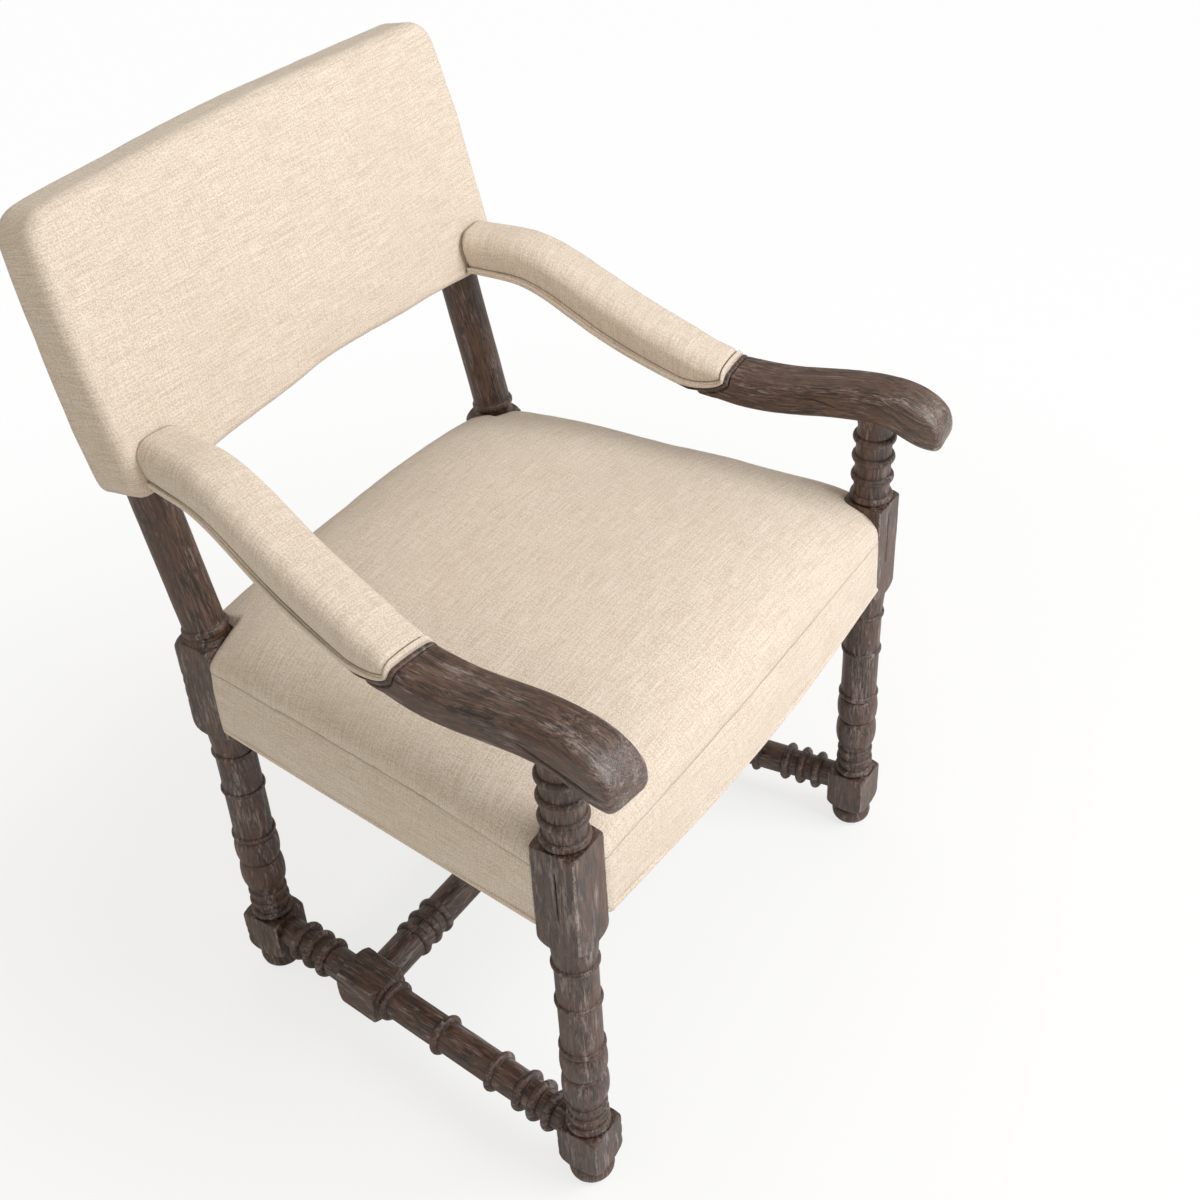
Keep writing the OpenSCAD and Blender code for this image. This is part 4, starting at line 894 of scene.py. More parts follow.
def woven_linen():
    """Plain-weave linen: threads that vary in tone along their length, grit where they cross, slubs,
    flecks, painted shade between the threads and painted shade along the seams."""
    material, tree = new_material("oat_linen")
    place = put(tree, "ShaderNodeUVMap", {"uv_map": "cloth"}).outputs[0]
    axes = put(tree, "ShaderNodeSeparateXYZ", Vector=place)

    def times(value, factor):
        return maths(tree, "MULTIPLY", value, factor)

    def threads(axis, other, offset, slub_length):
        """One set of threads: each thread's number, its roundness and the slubs along it."""
        count = maths(tree, "DIVIDE", axes.outputs[axis], THREAD)
        number = maths(tree, "FLOOR", count)
        across = maths(tree, "SINE", times(maths(tree, "FRACT", count), math.pi))
        spot = put(tree, "ShaderNodeCombineXYZ", X=maths(tree, "ADD", times(number, 0.83), offset),
                   Y=maths(tree, "DIVIDE", axes.outputs[other], slub_length)).outputs[0]
        return number, across, clouds(tree, spot, 1, 3, 0.6)

    warp, warp_round, warp_slub = threads(0, 1, 0.0, SLUBS[0])
    weft, weft_round, weft_slub = threads(1, 0, 90.0, SLUBS[1])
    over = maths(tree, "PINGPONG", maths(tree, "ADD", warp, weft), 1)
    warp_top = times(warp_round, maths(tree, "MULTIPLY_ADD", weft_round, 0.5, 0.5))
    weft_top = times(weft_round, maths(tree, "MULTIPLY_ADD", warp_round, 0.5, 0.5))
    height = blend(tree, over, warp_top, weft_top)
    slubs = maths(tree, "ADD", times(warp_slub, 0.2), times(weft_slub, 0.3))
    tone = maths(tree, "MULTIPLY_ADD", clouds(tree, place, 620, 2, 0.7), 0.6, slubs)
    colour = blend(tree, ramp(tree, tone, 0.43, 0.66), srgb(LINEN_DARK), srgb(LINEN_LIGHT))
    colour = tint(tree, colour, LINEN_CLOUD, clouds(tree, place, 9, 3, 0.6), 0.4, 0.7, 0.2)
    drawn_out = put(tree, "ShaderNodeMapping", Vector=place, Scale=(0.6, 1, 1)).outputs[0]
    colour = tint(tree, colour, LINEN_FLECK, clouds(tree, drawn_out, 720, 2, 0.5), 0.6, 0.74, 0.5)
    # Painted shade: darker between the threads, where they dip under each other
    gap = times(maths(tree, "SUBTRACT", 1, ramp(tree, height, 0.05, 0.6)), 0.22)
    colour = blend(tree, gap, colour, srgb(LINEN_GAP_SHADE))
    # Painted shade along the sewn seams and in the pads' sewn grooves
    colour = blend(tree, times(attribute(tree, "seam_shade"), 0.95), colour, srgb(LINEN_SEAM_SHADE))
    relief = maths(tree, "MULTIPLY_ADD", tone, 0.9, height)
    finish(tree, colour, 0.88, relief, 0.5, 0.0004, Specular_IOR_Level=0.25, Sheen_Weight=0.15,
           Sheen_Roughness=0.5)
    return material


linen = woven_linen()
jute = mottled("jute_webbing", "B59A6B", "8C7148", (1, 0.2, 1), 420, 0.85, 0.0004)
finish_nodes(jute, "seat_webbing", "back_webbing")


def swelling(span, t):
    return span[0] + (span[1] - span[0]) * t + BOXING_SWELL * np.sin(np.pi * t)


def seat_plan(u, v, t, inset=0.0):
    """The seat's plan: u across and v back, both from -1 to 1, and t down from the seam, from 0 to 1."""
    bulge = np.maximum(0, 1 - u * u)
    front = -LEG_HALF + inset - swelling(FRONT_SWELL, t) * bulge ** 1.7
    rear = LEG_DEPTH + LEG_HALF - inset + BOXING_SWELL * bulge
    back = front + (rear - front) * (v + 1) / 2
    rail = FRONT_X - back * math.tan(SIDE_ANGLE) + (LEG_HALF - COVER_INSET) / math.cos(SIDE_ANGLE)
    width = rail + COVER_INSET - inset + swelling(SIDE_SWELL, t) * (1 - v * v)
    return u * width, FRONT_Y + back


def seat_steps():
    """Places from -1 to 1 across the seat, closer at its edges."""
    return np.sin(np.pi * np.arange(SEAT_CELLS + 1) / SEAT_CELLS - np.pi / 2)


def seam_height(v):
    return SEAM_Z - SEAM_DROP * np.maximum(0, -v) ** 8 - REAR_DROP * np.maximum(0, v) ** 8


def dome(u, v):
    return (np.maximum(0, 1 - np.abs(u) ** 2.6) * np.maximum(0, 1 - np.abs(v) ** 3.38)) ** 0.42


def grid_border(n):
    """The outer points of a square grid, in order, as rows and columns."""
    i = np.arange(n)
    columns = np.concatenate([i, np.full(n, n), n - i, np.zeros(n, int)])
    rows = np.concatenate([np.zeros(n, int), i, np.full(n, n), n - i])
    return rows, columns


def tucked(points):
    """Draw the cloth that would pass over a leg's square block down into it, so that the block shows."""
    x, y, z = np.abs(points[..., 0]), points[..., 1], points[..., 2]
    sign = np.where(points[..., 0] < 0, -1, 1)
    reach = LEG_HALF - 5
    front_leg = (FRONT_X, FRONT_Y, -1, FRONT_BLOCK_TOP - 9)
    rear_leg = (REAR_X, REAR_Y, 1, REAR_BLOCK_TOP - 20)
    for leg_x, leg_y, into, top in (front_leg, rear_leg):
        past_side = x - (leg_x - LEG_HALF)
        past_end = into * (y - leg_y) + LEG_HALF
        inside = smooth_step(np.minimum(past_side, past_end) / 4)
        x = x - inside * np.maximum(0, x - leg_x - reach)
        y = y - inside * into * np.maximum(0, into * (y - leg_y) - reach)
        z = z - inside * np.maximum(0, z - top)
    return np.stack([sign * x, y, z], axis=-1)


def running_length(points, axis):
    """Length along a grid's lines from their middle, which keeps the weave even on a curved cloth."""
    steps = np.linalg.norm(np.diff(points, axis=axis), axis=2)
    total = np.insert(np.cumsum(steps, axis=axis), 0, 0, axis=axis)
    middle = np.take(total, [points.shape[axis] // 2], axis=axis)
    return (total - middle) / 1000


def arc_length(line):
    """Length along a line of points, up to each one."""
    return np.insert(np.linalg.norm(np.diff(line, axis=0), axis=1).cumsum(), 0, 0)


def cloth_corners(faces, places, girth=None):
    """The weave's place at each face corner. A face that closes a ring takes the girth at its far side."""
    places = places.reshape(-1, 2)
    corners = []
    for face in faces:
        spots = places[list(face)]
        if girth and np.ptp(spots[:, 0]) > girth / 2:
            spots = spots + np.where(spots[:, :1] < girth / 2, [[girth, 0]], [[0, 0]])
        corners.append(spots)
    return np.concatenate(corners)


SLOW_SIZE = (95, 95, 95)      # size of the broad hollows, and of the small ones
FINE_SIZE = (24, 24, 24)


def unsettle(piece, slow, fine, seed):
    """Uneven stuffing: move a soft piece's points along their normals by slow and by fine noise."""
    mesh = piece.data
    count = len(mesh.vertices)
    places = np.empty(count * 3, np.float32)
    mesh.vertices.foreach_get("co", places)
    normals = np.empty(count * 3, np.float32)
    mesh.vertex_normals.foreach_get("vector", normals)
    places, normals = places.reshape(-1, 3), normals.reshape(-1, 3)
    points = places * 1000
    move = field(points, SLOW_SIZE, seed) * slow + field(points, FINE_SIZE, seed + 5) * fine
    mesh.vertices.foreach_set("co", (places + normals * move[:, None] / 1000).ravel())
    mesh.update()


def seat_rings(u, v):
    """The seat's sides, as rings from just under the seam, down the boxing and round the hem."""
    seam = seam_height(v)
    levels = [(seam - 0.5, 1.3), (seam - SEAM_PINCH, 0.1)]
    height = seam - (SEAM_PINCH + HEM_R) - SEAT_LOW
    levels += [(seam - SEAM_PINCH - height * f, 0.0) for f in np.linspace(0, 1, 22)[1:]]
    levels += [(SEAT_LOW + HEM_R * (1 - math.sin(a)), HEM_R * (1 - math.cos(a)))
               for a in (0.4, 0.8, 1.2, math.pi / 2)]
    levels += [(SEAT_LOW, inset) for inset in (10, 20, 34)]
    rings = []
    for z, inset in levels:
        t = np.minimum(HEM_T, (seam - z) / (seam - SEAT_LOW))
        x, y = seat_plan(u, v, t, inset)
        rings.append(np.stack([x, y, np.broadcast_to(z, len(x))], axis=-1))
    centre = np.array([0, FRONT_Y + LEG_DEPTH / 2, SEAT_LOW])
    rings += [centre + (rings[-1] - centre) * f for f in (0.75, 0.5, 0.25)]
    return np.array(rings), centre


def seat_cover():
    n = SEAT_CELLS
    u, v = np.meshgrid(seat_steps(), seat_steps())
    x, y = seat_plan(u, v, 0.0)
    top = np.stack([x, y, seam_height(v) + SEAT_CROWN * dome(u, v)], axis=-1)
    rows, columns = grid_border(n)
    rings, centre = seat_rings(u[rows, columns], v[rows, columns])
    count, base = len(rows), (n + 1) ** 2
    points = np.concatenate([top.reshape(-1, 3), rings.reshape(-1, 3), centre[None]])
    border = rows * (n + 1) + columns
    index = np.concatenate([border[None], base + np.arange(len(rings) * count).reshape(len(rings), count)])
    top_faces = [(j * (n + 1) + i, j * (n + 1) + i + 1, (j + 1) * (n + 1) + i + 1, (j + 1) * (n + 1) + i)
                 for j in range(n) for i in range(n)]
    side_faces = [(index[r, k], index[r + 1, k], index[r + 1, (k + 1) % count], index[r, (k + 1) % count])
                  for r in range(len(rings)) for k in range(count)]
    side_faces += [(index[-1, k], len(points) - 1, index[-1, (k + 1) % count]) for k in range(count)]
    # The weave is laid flat over the top, and runs round the boxing and down it
    flat = np.stack([running_length(top, 1), running_length(top, 0)], axis=-1)
    around_edge = np.linalg.norm(np.diff(rings[3], axis=0, append=rings[3][:1]), axis=1)
    girth = around_edge.sum() / 1000
    along_edge = np.insert(np.cumsum(around_edge), 0, 0)[:-1] / 1000
    steps_down = np.diff(np.concatenate([top[rows, columns][None], rings]), axis=0)
    down = np.linalg.norm(steps_down, axis=2).cumsum(axis=0) / 1000
    side_places = np.zeros((len(points), 2))
    side_places[border, 0] = along_edge
    for r in range(len(rings)):
        side_places[index[r + 1], 0] = along_edge
        side_places[index[r + 1], 1] = -down[r]
    corners = [cloth_corners(top_faces, flat), cloth_corners(side_faces, side_places, girth)]
    # Painted shade along the ring just under the seam
    seam_shade = np.zeros(len(points))
    seam_shade[index[1]] = 1
    seam_z = np.interp(points[:, 1], [FRONT_Y - 30, FRONT_Y, REAR_Y], [SEAM_Z - SEAM_DROP, SEAM_Z, SEAM_Z])
    near_seam = np.exp(-np.abs(points[:, 2] - seam_z) / PUCKER_REACH)
    points[:, 2] += PUCKER * field(points, (9, 9, 30), 4.4) * near_seam
    faces = top_faces + side_faces
    piece = new_piece("seat_cover_linen", tucked(points), faces, linen, {"seam_shade": seam_shade},
                      np.concatenate(corners))
    unsettle(piece, slow=2.2, fine=0.5, seed=31.0)
    return piece


seat = seat_cover()
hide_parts("seat_cover", "seat_foam")


# The welt at the seat's lower edge: a folded strip of the same linen, sewn to the cover all round, so that
# it finishes the hem. It is flat outside and rounded at its two edges.
WELT_H = 6.0
WELT_T = 1.8
WELT_LIFT = 1.2       # above the seat's lower edge
WELT_PITCH = 0.0011   # the step of the weave round the strip, in metres


def signed_power(value, power):
    return math.copysign(abs(value) ** power, value)


def strip_places(grid, pitch):
    """The place in the weave of each point of a narrow strip, laid along it."""
    length = arc_length(grid[:, 0]) / 1000
    return np.stack(np.meshgrid(length, np.arange(grid.shape[1]) * pitch, indexing="ij"), axis=-1)


def seat_welt():
    rows, columns = grid_border(SEAT_CELLS)
    u, v = seat_steps()[columns], seat_steps()[rows]
    grid = []
    for a in np.linspace(0, 2 * math.pi, 13)[:-1]:
        out = WELT_T * signed_power(math.sin(a), 0.7) - 0.3
        z = SEAT_LOW + WELT_LIFT + WELT_H / 2 + WELT_H / 2 * signed_power(math.cos(a), 0.8)
        x, y = seat_plan(u, v, HEM_T, -out)
        grid.append(np.stack([x, y, np.full(len(x), z)], axis=-1))
    grid = np.stack(grid, axis=1)
    count, sides = grid.shape[:2]
    faces = [(i * sides + j, i * sides + (j + 1) % sides,
              (i + 1) % count * sides + (j + 1) % sides, (i + 1) % count * sides + j)
             for i in range(count) for j in range(sides)]
    places = strip_places(grid, WELT_PITCH)
    corners = cloth_corners(faces, places, places[-1, 0, 0] + 0.002)
    return new_piece("seat_welt_linen", tucked(grid), faces, linen, None, corners)


welt = seat_welt()
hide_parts("seat_trim")


# The dust cover: thin black non-woven cloth stretched under the seat, its edge stapled over the hem. It
# sags a little in the middle.
DUST_INSET = 9.3
DUST_SAG = 5.0
DUST_T = 0.0008       # in metres
DUST_CELLS = 60
STAPLE_INSET = 6.0
STAPLE_REACH = 0.8    # how far towards the legs the staples go
# The pitch, crown and wire are in metres, and the skew in radians
STAPLES = {"Pitch": 0.04, "Crown": 0.011, "Wire": 0.0012, "Skew": 0.16, "Seed": 5}
black_cloth = mottled("black_dust_cloth", "2B2B2B", "1C1C1C", (1, 1, 1), 620, 0.92, 0.0003)


def dust_sheet():
    n = DUST_CELLS + 1
    u, v = np.meshgrid(np.linspace(-1, 1, n), np.linspace(-1, 1, n))
    x, y = seat_plan(u, v, HEM_T, DUST_INSET)
    sag = DUST_SAG * (1 - u ** 2) * (1 - v ** 2)
    points = np.stack([x, y, SEAT_LOW - 0.3 - sag], axis=-1)
    points[..., 2] -= 0.6 + field(points, (70, 70, 70), 7.7) * 2 * (1 - u ** 4) * (1 - v ** 4)
    faces = [(j * n + i, (j + 1) * n + i, (j + 1) * n + i + 1, j * n + i + 1)
             for j in range(DUST_CELLS) for i in range(DUST_CELLS)]
    edges = np.diff(points, axis=1)[:-1], np.diff(points, axis=0)[:, :-1]
    area = np.linalg.norm(np.cross(*edges), axis=2).sum() / 1e6
    sheet = new_piece("dust_cover_cloth", tucked(points), faces, black_cloth)
    thickness = sheet.modifiers.new("thickness", "SOLIDIFY")
    thickness.thickness = DUST_T
    thickness.offset = math.copysign(1, sheet.data.polygons[0].normal.z)
    return sheet, area, (np.ptp(x) / 1000, np.ptp(y) / 1000)


dust, dust_area, dust_size = dust_sheet()
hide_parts("dust_cover")


def staple_lines():
    """Where the staples go: a line along each edge of the dust cover, from one leg to the next."""
    reach = np.linspace(-STAPLE_REACH, STAPLE_REACH, 33)
    points, edges = [], []
    for u, v in ((reach, -1), (reach, 1), (-1, reach), (1, reach)):
        u, v = np.broadcast_arrays(u, v)
        x, y = seat_plan(u, v, HEM_T, DUST_INSET + STAPLE_INSET)
        first = len(points)
        points += [(a / 1000, b / 1000, (SEAT_LOW - 1.6) / 1000) for a, b in zip(x, y)]
        edges += [(k, k + 1) for k in range(first, len(points) - 1)]
    mesh = bpy.data.meshes.new("staple_lines")
    mesh.from_pydata(points, edges, [])
    return mesh


def staple_nodes():
    """A flat bar every Pitch along each line, turned along it and a little askew."""
    tree = bpy.data.node_groups.new("staples", "GeometryNodeTree")
    tree.interface.new_socket("Geometry", in_out="OUTPUT", socket_type="NodeSocketGeometry")
    tree.interface.new_socket("Geometry", in_out="INPUT", socket_type="NodeSocketGeometry")
    for name in ("Pitch", "Crown", "Wire", "Skew"):
        tree.interface.new_socket(name, in_out="INPUT", socket_type="NodeSocketFloat")
    tree.interface.new_socket("Seed", in_out="INPUT", socket_type="NodeSocketInt")
    given = put(tree, "NodeGroupInput").outputs
    line = put(tree, "GeometryNodeMeshToCurve", Mesh=given["Geometry"]).outputs[0]
    line = put(tree, "GeometryNodeResampleCurve", {"mode": "LENGTH"}, Curve=line,
               Length=given["Pitch"]).outputs[0]
    tangent = put(tree, "GeometryNodeInputTangent").outputs[0]
    turn = put(tree, "FunctionNodeAlignRotationToVector", {"axis": "X"}, Vector=tangent).outputs[0]
    skew = put(tree, "FunctionNodeRandomValue", {"data_type": "FLOAT"}, Seed=given["Seed"],
               _2=maths(tree, "MULTIPLY", given["Skew"], -1), _3=given["Skew"]).outputs[1]
    askew = put(tree, "FunctionNodeAxisAngleToRotation", Axis=(0, 0, 1), Angle=skew).outputs[0]
    turn = put(tree, "FunctionNodeRotateRotation", {"rotation_space": "LOCAL"}, Rotation=turn,
               Rotate_By=askew).outputs[0]
    size = put(tree, "ShaderNodeCombineXYZ", X=given["Crown"], Y=given["Wire"], Z=given["Wire"]).outputs[0]
    bar = put(tree, "GeometryNodeMeshCube", Size=size).outputs[0]
    bars = put(tree, "GeometryNodeInstanceOnPoints", Points=line, Instance=bar, Rotation=turn).outputs[0]
    bars = put(tree, "GeometryNodeRealizeInstances", Geometry=bars).outputs[0]
    bars = put(tree, "GeometryNodeSetMaterial", Geometry=bars, Material=screw_steel).outputs[0]
    put(tree, "NodeGroupOutput", Geometry=bars)
    return tree


def staple_row():
    holder = bpy.data.objects.new("staple_lines", staple_lines())
    scene.collection.objects.link(holder)
    modifier = holder.modifiers.new("staples", "NODES")
    modifier.node_group = staple_nodes()
    for item in modifier.node_group.interface.items_tree:
        if item.in_out == "INPUT" and item.name in STAPLES:
            modifier[item.identifier] = STAPLES[item.name]
    mesh = bpy.data.meshes.new_from_object(holder.evaluated_get(bpy.context.evaluated_depsgraph_get()))
    bpy.data.objects.remove(holder)
    row = bpy.data.objects.new("dust_cover_staples", mesh)
    scene.collection.objects.link(row)
    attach(row, "root")


staple_row()


# The upholstered back: webbing and thin foam on the frame between the posts, and a linen cover drawn over
# the edges, so that it wraps the front of the posts at its lower corners and its lower edge arches.
BACK_HALF_W = REAR_X + 37.5
BACK_ARCH = 14.0      # how much lower the edge hangs at the posts than in the middle
BACK_TOP_SWELL = 7.0
BACK_SIDE_SWELL = 4.0
BACK_TOP_R = 30.0
BACK_LOW_R = 12.0
BACK_REAR_W = STILE[1] + 3    # the cover's rear edge, behind the posts' axes
BACK_PAD = (21.0, 9.0)        # how far the face stands before the stiles, at the bottom and the top
BACK_CROWN = 13.0
BACK_EDGE_R = 11.0
BACK_MID = (BACK_LOW + BACK_TOP) / 2


def back_outline(count=360):
    """Outline of the back in its own plane, evenly spaced, and the outward direction at each point."""
    low_v = BACK_LOW - BACK_ARCH
    lower = [(BACK_HALF_W - BACK_LOW_R * (1 - math.cos(a)), low_v + BACK_LOW_R * (1 + math.sin(a)))
             for a in np.linspace(-math.pi / 2, 0, 12)]
    f = np.linspace(0, 1, 40)[1:-1]
    side_v = low_v + BACK_LOW_R + f * (BACK_TOP - BACK_TOP_R - low_v - BACK_LOW_R)
    flank = list(zip(BACK_HALF_W + BACK_SIDE_SWELL * np.sin(np.pi * f), side_v))
    upper = [(BACK_HALF_W - BACK_TOP_R * (1 - math.cos(a)), BACK_TOP - BACK_TOP_R * (1 - math.sin(a)))
             for a in np.linspace(0, math.pi / 2, 20)]
    half = np.array(lower + flank + upper)
    span = BACK_HALF_W - BACK_TOP_R
    top_x = np.linspace(span, -span, 80)[1:-1]
    top = np.stack([top_x, BACK_TOP + BACK_TOP_SWELL * np.sin(np.pi * (span - top_x) / (2 * span))], axis=1)
    low_x = np.linspace(BACK_LOW_R - BACK_HALF_W, BACK_HALF_W - BACK_LOW_R, 80)[1:-1]
    low = np.stack([low_x, BACK_LOW - BACK_ARCH * np.minimum(1, np.abs(low_x) / REAR_X) ** 1.2], axis=1)
    line = np.concatenate([half, top, half[::-1] * (-1, 1), low])
    closed = np.concatenate([line, line[:1]])
    length = arc_length(closed)
    even = np.linspace(0, length[-1], count + 1)[:-1]
    line = np.stack([np.interp(even, length, closed[:, 0]), np.interp(even, length, closed[:, 1])], axis=1)
    for _ in range(3):
        line = (np.roll(line, 1, 0) + 2 * line + np.roll(line, -1, 0)) / 4
    along = np.roll(line, -1, 0) - np.roll(line, 1, 0)
    out = np.stack([along[:, 1], -along[:, 0]], axis=1)
    return line, out / np.linalg.norm(out, axis=1, keepdims=True)


def back_face(x, v):
    """The front of the back, as its place through the thickness, below nought before the posts' axes."""
    f = (v - BACK_LOW) / BACK_H
    across, up = 1 - (x / BACK_HALF_W) ** 2, 1 - np.abs(2 * f - 1) ** 3
    crown = BACK_CROWN * np.maximum(0, across) * np.maximum(0, up)
    return -STILE[1] - BACK_PAD[0] - (BACK_PAD[1] - BACK_PAD[0]) * f - crown


def drawn_in(line, out, inset, scale):
    """An outline of the back, moved in by its inset and then shrunk to its middle."""
    middle = np.array([0, BACK_MID])
    return middle + (line - out * inset - middle) * scale


def standing(outline, w):
    """Points of an outline in the back's own plane, with w their place through its thickness."""
    return np.stack([outline[:, 0], np.broadcast_to(w, len(outline)), outline[:, 1]], axis=1)


def domed_faces(rows, columns):
    """Faces of a tube that closes at each end on a point. These two are the mesh's last points."""
    first_tip, last_tip, last = rows * columns, rows * columns + 1, (rows - 1) * columns
    faces = tube_faces(rows, columns, closed_ends=False)
    faces += [(k, (k + 1) % columns, first_tip) for k in range(columns)]
    faces += [(last + k, last_tip, last + (k + 1) % columns) for k in range(columns)]
    return faces


def back_cover():
    line, out = back_outline()
    rings, places = [], []

    def add(inset, w, scale=1.0, reach=None):
        """Add a ring. The weave lies flat on it, or has come this far, reach, round the rim."""
        spot = drawn_in(line, out, inset, scale)
        rings.append(standing(spot, w(spot[:, 0], spot[:, 1]) if callable(w) else w))
        if reach is not None:
            spot = line - out * BACK_EDGE_R + out * np.reshape(reach, (-1, 1))
        places.append(spot / 1000)

    flat_back = STILE[1]
    for scale in (0.3, 0.65, 0.9):
        add(9, flat_back, scale)
    rim = back_face(line[:, 0], line[:, 1])
    # The rear edge: a soft roll that stands behind the outside panel
    for inset, w in ((6.0, flat_back), (5.2, flat_back + 0.3), (4.4, flat_back + 2.2), (3.0, BACK_REAR_W),
                     (1.4, BACK_REAR_W - 0.6), (0.4, BACK_REAR_W - 2.5)):
        add(inset, w, 1.0, BACK_REAR_W - rim + BACK_EDGE_R - w)
    edge_w = rim + BACK_EDGE_R + 2
    for f in np.linspace(0, 1, 10):
        w = (BACK_REAR_W - 5) * (1 - f) + edge_w * f
        add(0, w, 1.0, BACK_EDGE_R * 1.57 + w - edge_w)
    for a in np.linspace(0, math.pi / 2, 9)[1:]:
        behind = (BACK_EDGE_R + 2) * (1 - math.sin(a))
        add(BACK_EDGE_R * (1 - math.cos(a)), lambda x, v: back_face(x, v) + behind, 1.0,
            BACK_EDGE_R * (math.pi / 2 - a))
    for scale in np.linspace(1, 0, 34)[1:-1]:
        add(BACK_EDGE_R, back_face, scale)
    ends = np.array([[0, flat_back, BACK_MID], [0, float(back_face(0, BACK_MID)), BACK_MID]])
    points = np.concatenate([*rings, ends])
    faces = domed_faces(len(rings), len(line))
    flat = np.concatenate([*places, [[0, BACK_MID / 1000]] * 2])
    piece = new_piece("back_cover_linen", raked(points), faces, linen, None, cloth_corners(faces, flat))
    unsettle(piece, slow=1.8, fine=0.5, seed=47.0)
    return piece


back = back_cover()
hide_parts("back_cover", "back_foam")


# The outside back: a flat panel of the same linen, its edges turned in and slip-stitched inside the soft
# roll at the cover's rear edge.
PANEL_INSET = 5.6
PANEL_SPAN = (STILE[1] + 0.3, STILE[1] + 2.0)     # its hidden face and its outer one
# Rings from the hidden face, over the turned-in edge and across the outer face: how far in from the edge,
# how far through the thickness, and how far shrunk to the middle
PANEL_RINGS = [(4, 0.0, 0.5), (4, 0.0, 0.97), (0.5, 0.0, 1), (0, 0.5, 1), (0.5, 0.9, 1), (3, 1.0, 1),
               (4, 1.0, 0.97), (4, 1.0, 0.9), (4, 1.0, 0.75), (4, 1.0, 0.5), (4, 1.0, 0.25)]


def outside_panel():
    line, out = back_outline()
    inner, outer = PANEL_SPAN
    rings = [standing(drawn_in(line, out, PANEL_INSET + inset, scale), inner + (outer - inner) * through)
             for inset, through, scale in PANEL_RINGS]
    points = np.concatenate([*rings, [[0, inner, BACK_MID], [0, outer, BACK_MID]]])
    faces = domed_faces(len(rings), len(line))
    flat = points[:, [0, 2]] / 1000
    panel = new_piece("outside_back_linen", raked(points), faces, linen, None, cloth_corners(faces, flat))
    edge = line - out * PANEL_INSET
    area = abs(np.sum(edge[:, 0] * np.roll(edge[:, 1], -1) - edge[:, 1] * np.roll(edge[:, 0], -1))) / 2e6
    return panel, area, (np.ptp(edge[:, 0]) / 1000, np.ptp(edge[:, 1]) / 1000)


panel, panel_area, panel_size = outside_panel()
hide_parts("outside_back")


# The arm pads: foam on top of each arm under a linen cover, whose lower edge is finished by a narrow band
# that runs round the pad's side and over its front, with a sewn groove between band and pad.
PAD_CROWN = 3.0
PAD_REACH = 478.5     # where the pad meets the padded back
PAD_LEVEL = 707.0     # its height there
PAD_LEAN = 60.0       # over how much of its length it turns to lean with the back
GROOVE = BAND_W + 0.5
GROOVE_DARK = 0.7     # half the width of the groove's shade
BAND_BED = 1.2        # how deep the cover lies under the band, and how much deeper in the groove
GROOVE_BED = 1.6
PAD_PLUMP = 1.4       # how far the pad swells beyond its section, and how far it is drawn in at the groove
PAD_TUCK = 4.0
PAD_TURN = 7.5        # over how much height the pad turns in to its groove
BAND_T = 1.3
BAND_PITCH = 0.0012
PAD_FLANK = np.concatenate([np.linspace(0, 0.42, 15)[1:], np.linspace(0.42, 1, 10)[1:-1]])


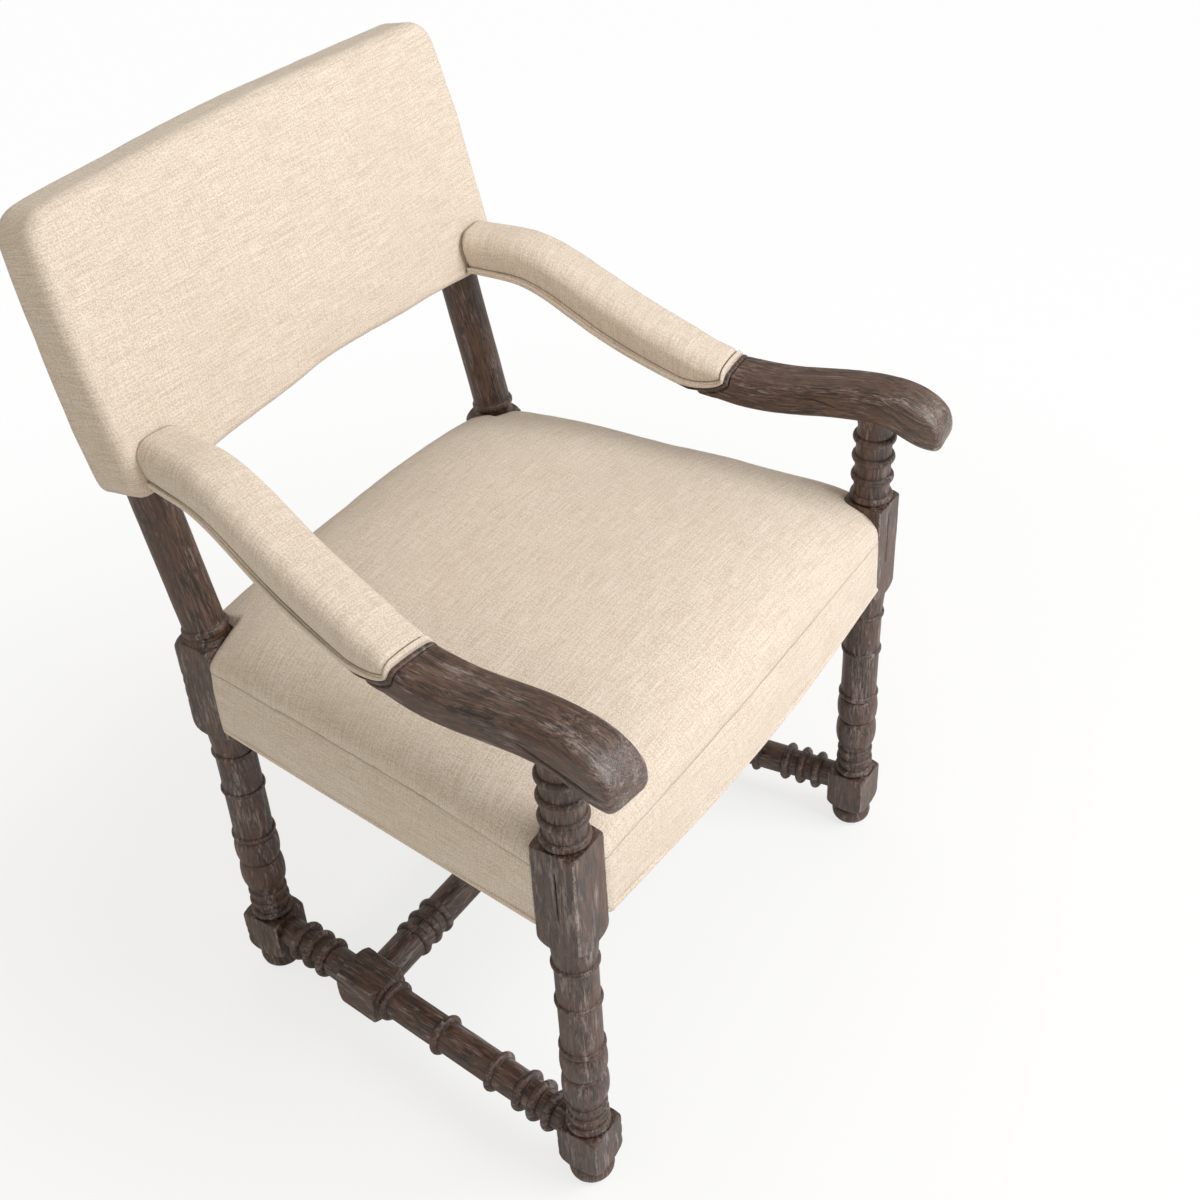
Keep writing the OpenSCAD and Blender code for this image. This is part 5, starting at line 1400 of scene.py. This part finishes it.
def pad_grid():
    near = np.concatenate([np.arange(0, 12, 0.5), np.arange(12, 50, 1.4)]) + PAD_START
    stations = np.concatenate([near, np.linspace(near[-1] + 3, PAD_REACH, 74)])
    rings = []
    for s in stations:
        half, low, high = float(half_width(s)), float(pad_low(s)), float(padded_top(s))
        r = min(float(pad_rounding(s)), high - low - 0.5)
        rings.append(whole_ring(rounded_section(half, low, high, 0.3, r, PAD_CROWN, PAD_FLANK), s))
    grid = np.array(rings)
    # The band takes less length over the pad's front than along its side
    measured = grid.copy()
    ahead = grid[..., 1] - PAD_START
    measured[..., 1] = PAD_START + np.minimum(ahead / FRONT_SQUEEZE, ahead + BAND_W * (1 - FRONT_SQUEEZE))
    depth = inside_edge(measured)
    under_band = -BAND_BED - GROOVE_BED * smooth_step((depth - BAND_W + 0.9) / 1.4)
    beyond = PAD_PLUMP - PAD_TUCK * np.exp(-(depth - GROOVE) / PAD_TURN)
    settle = np.where(depth < GROOVE, under_band, beyond)
    shaped = grid - grid_normals(grid) * settle[..., None]
    # Painted shade, darkest in the middle of the sewn groove
    seam_shade = np.exp(-((depth - GROOVE) / GROOVE_DARK) ** 2)
    # The rear end leans with the back's face
    lean = (shaped[..., 2] - PAD_LEVEL) * math.tan(RAKE) / math.cos(SIDE_ANGLE)
    shaped[..., 1] += lean * smooth_step((stations - stations[-1] + PAD_LEAN) / PAD_LEAN)[:, None]
    return shaped, seam_shade


band_section = [(0.2 + (BAND_W - 0.2) / 2 * (1 + signed_power(math.cos(a), 0.6)),
                 BAND_T * signed_power(math.sin(a), 0.7) - 0.2)
                for a in np.linspace(0, 2 * math.pi, 17)[:-1]]
for side, name in SIDES:
    grid, seam_shade = pad_grid()
    rows, columns = grid.shape[:2]
    girth = np.linalg.norm(np.diff(grid, axis=1), axis=2).cumsum(axis=1) / 1000
    across_cloth = np.insert(girth, 0, 0, axis=1) - girth[:, -1:] / 2
    along_cloth = arc_length(grid[:, columns // 2]) / 1000
    places = np.stack([across_cloth, np.repeat(along_cloth[:, None], columns, axis=1)], axis=-1)
    placed, places = sided(grid, places, side)
    faces = tube_faces(rows, columns)
    pad = new_piece(f"arm_pad_{name}_linen", placed, faces, linen, {"seam_shade": seam_shade.ravel()},
                    cloth_corners(faces, places))
    unsettle(pad, slow=1.0, fine=0.35, seed=53.0 + side)
    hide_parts(f"arm_pad_cover_{name}", f"arm_pad_foam_{name}")

    grid = border_tube(band_section, padded_top, pad_rounding, PAD_CROWN, PAD_REACH)
    placed, places = sided(grid, strip_places(grid, BAND_PITCH), side)
    faces = tube_faces(*grid.shape[:2])
    band = new_piece(f"arm_pad_{name}_band", placed, faces, linen, None, cloth_corners(faces, places))
    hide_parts(f"arm_pad_band_{name}")
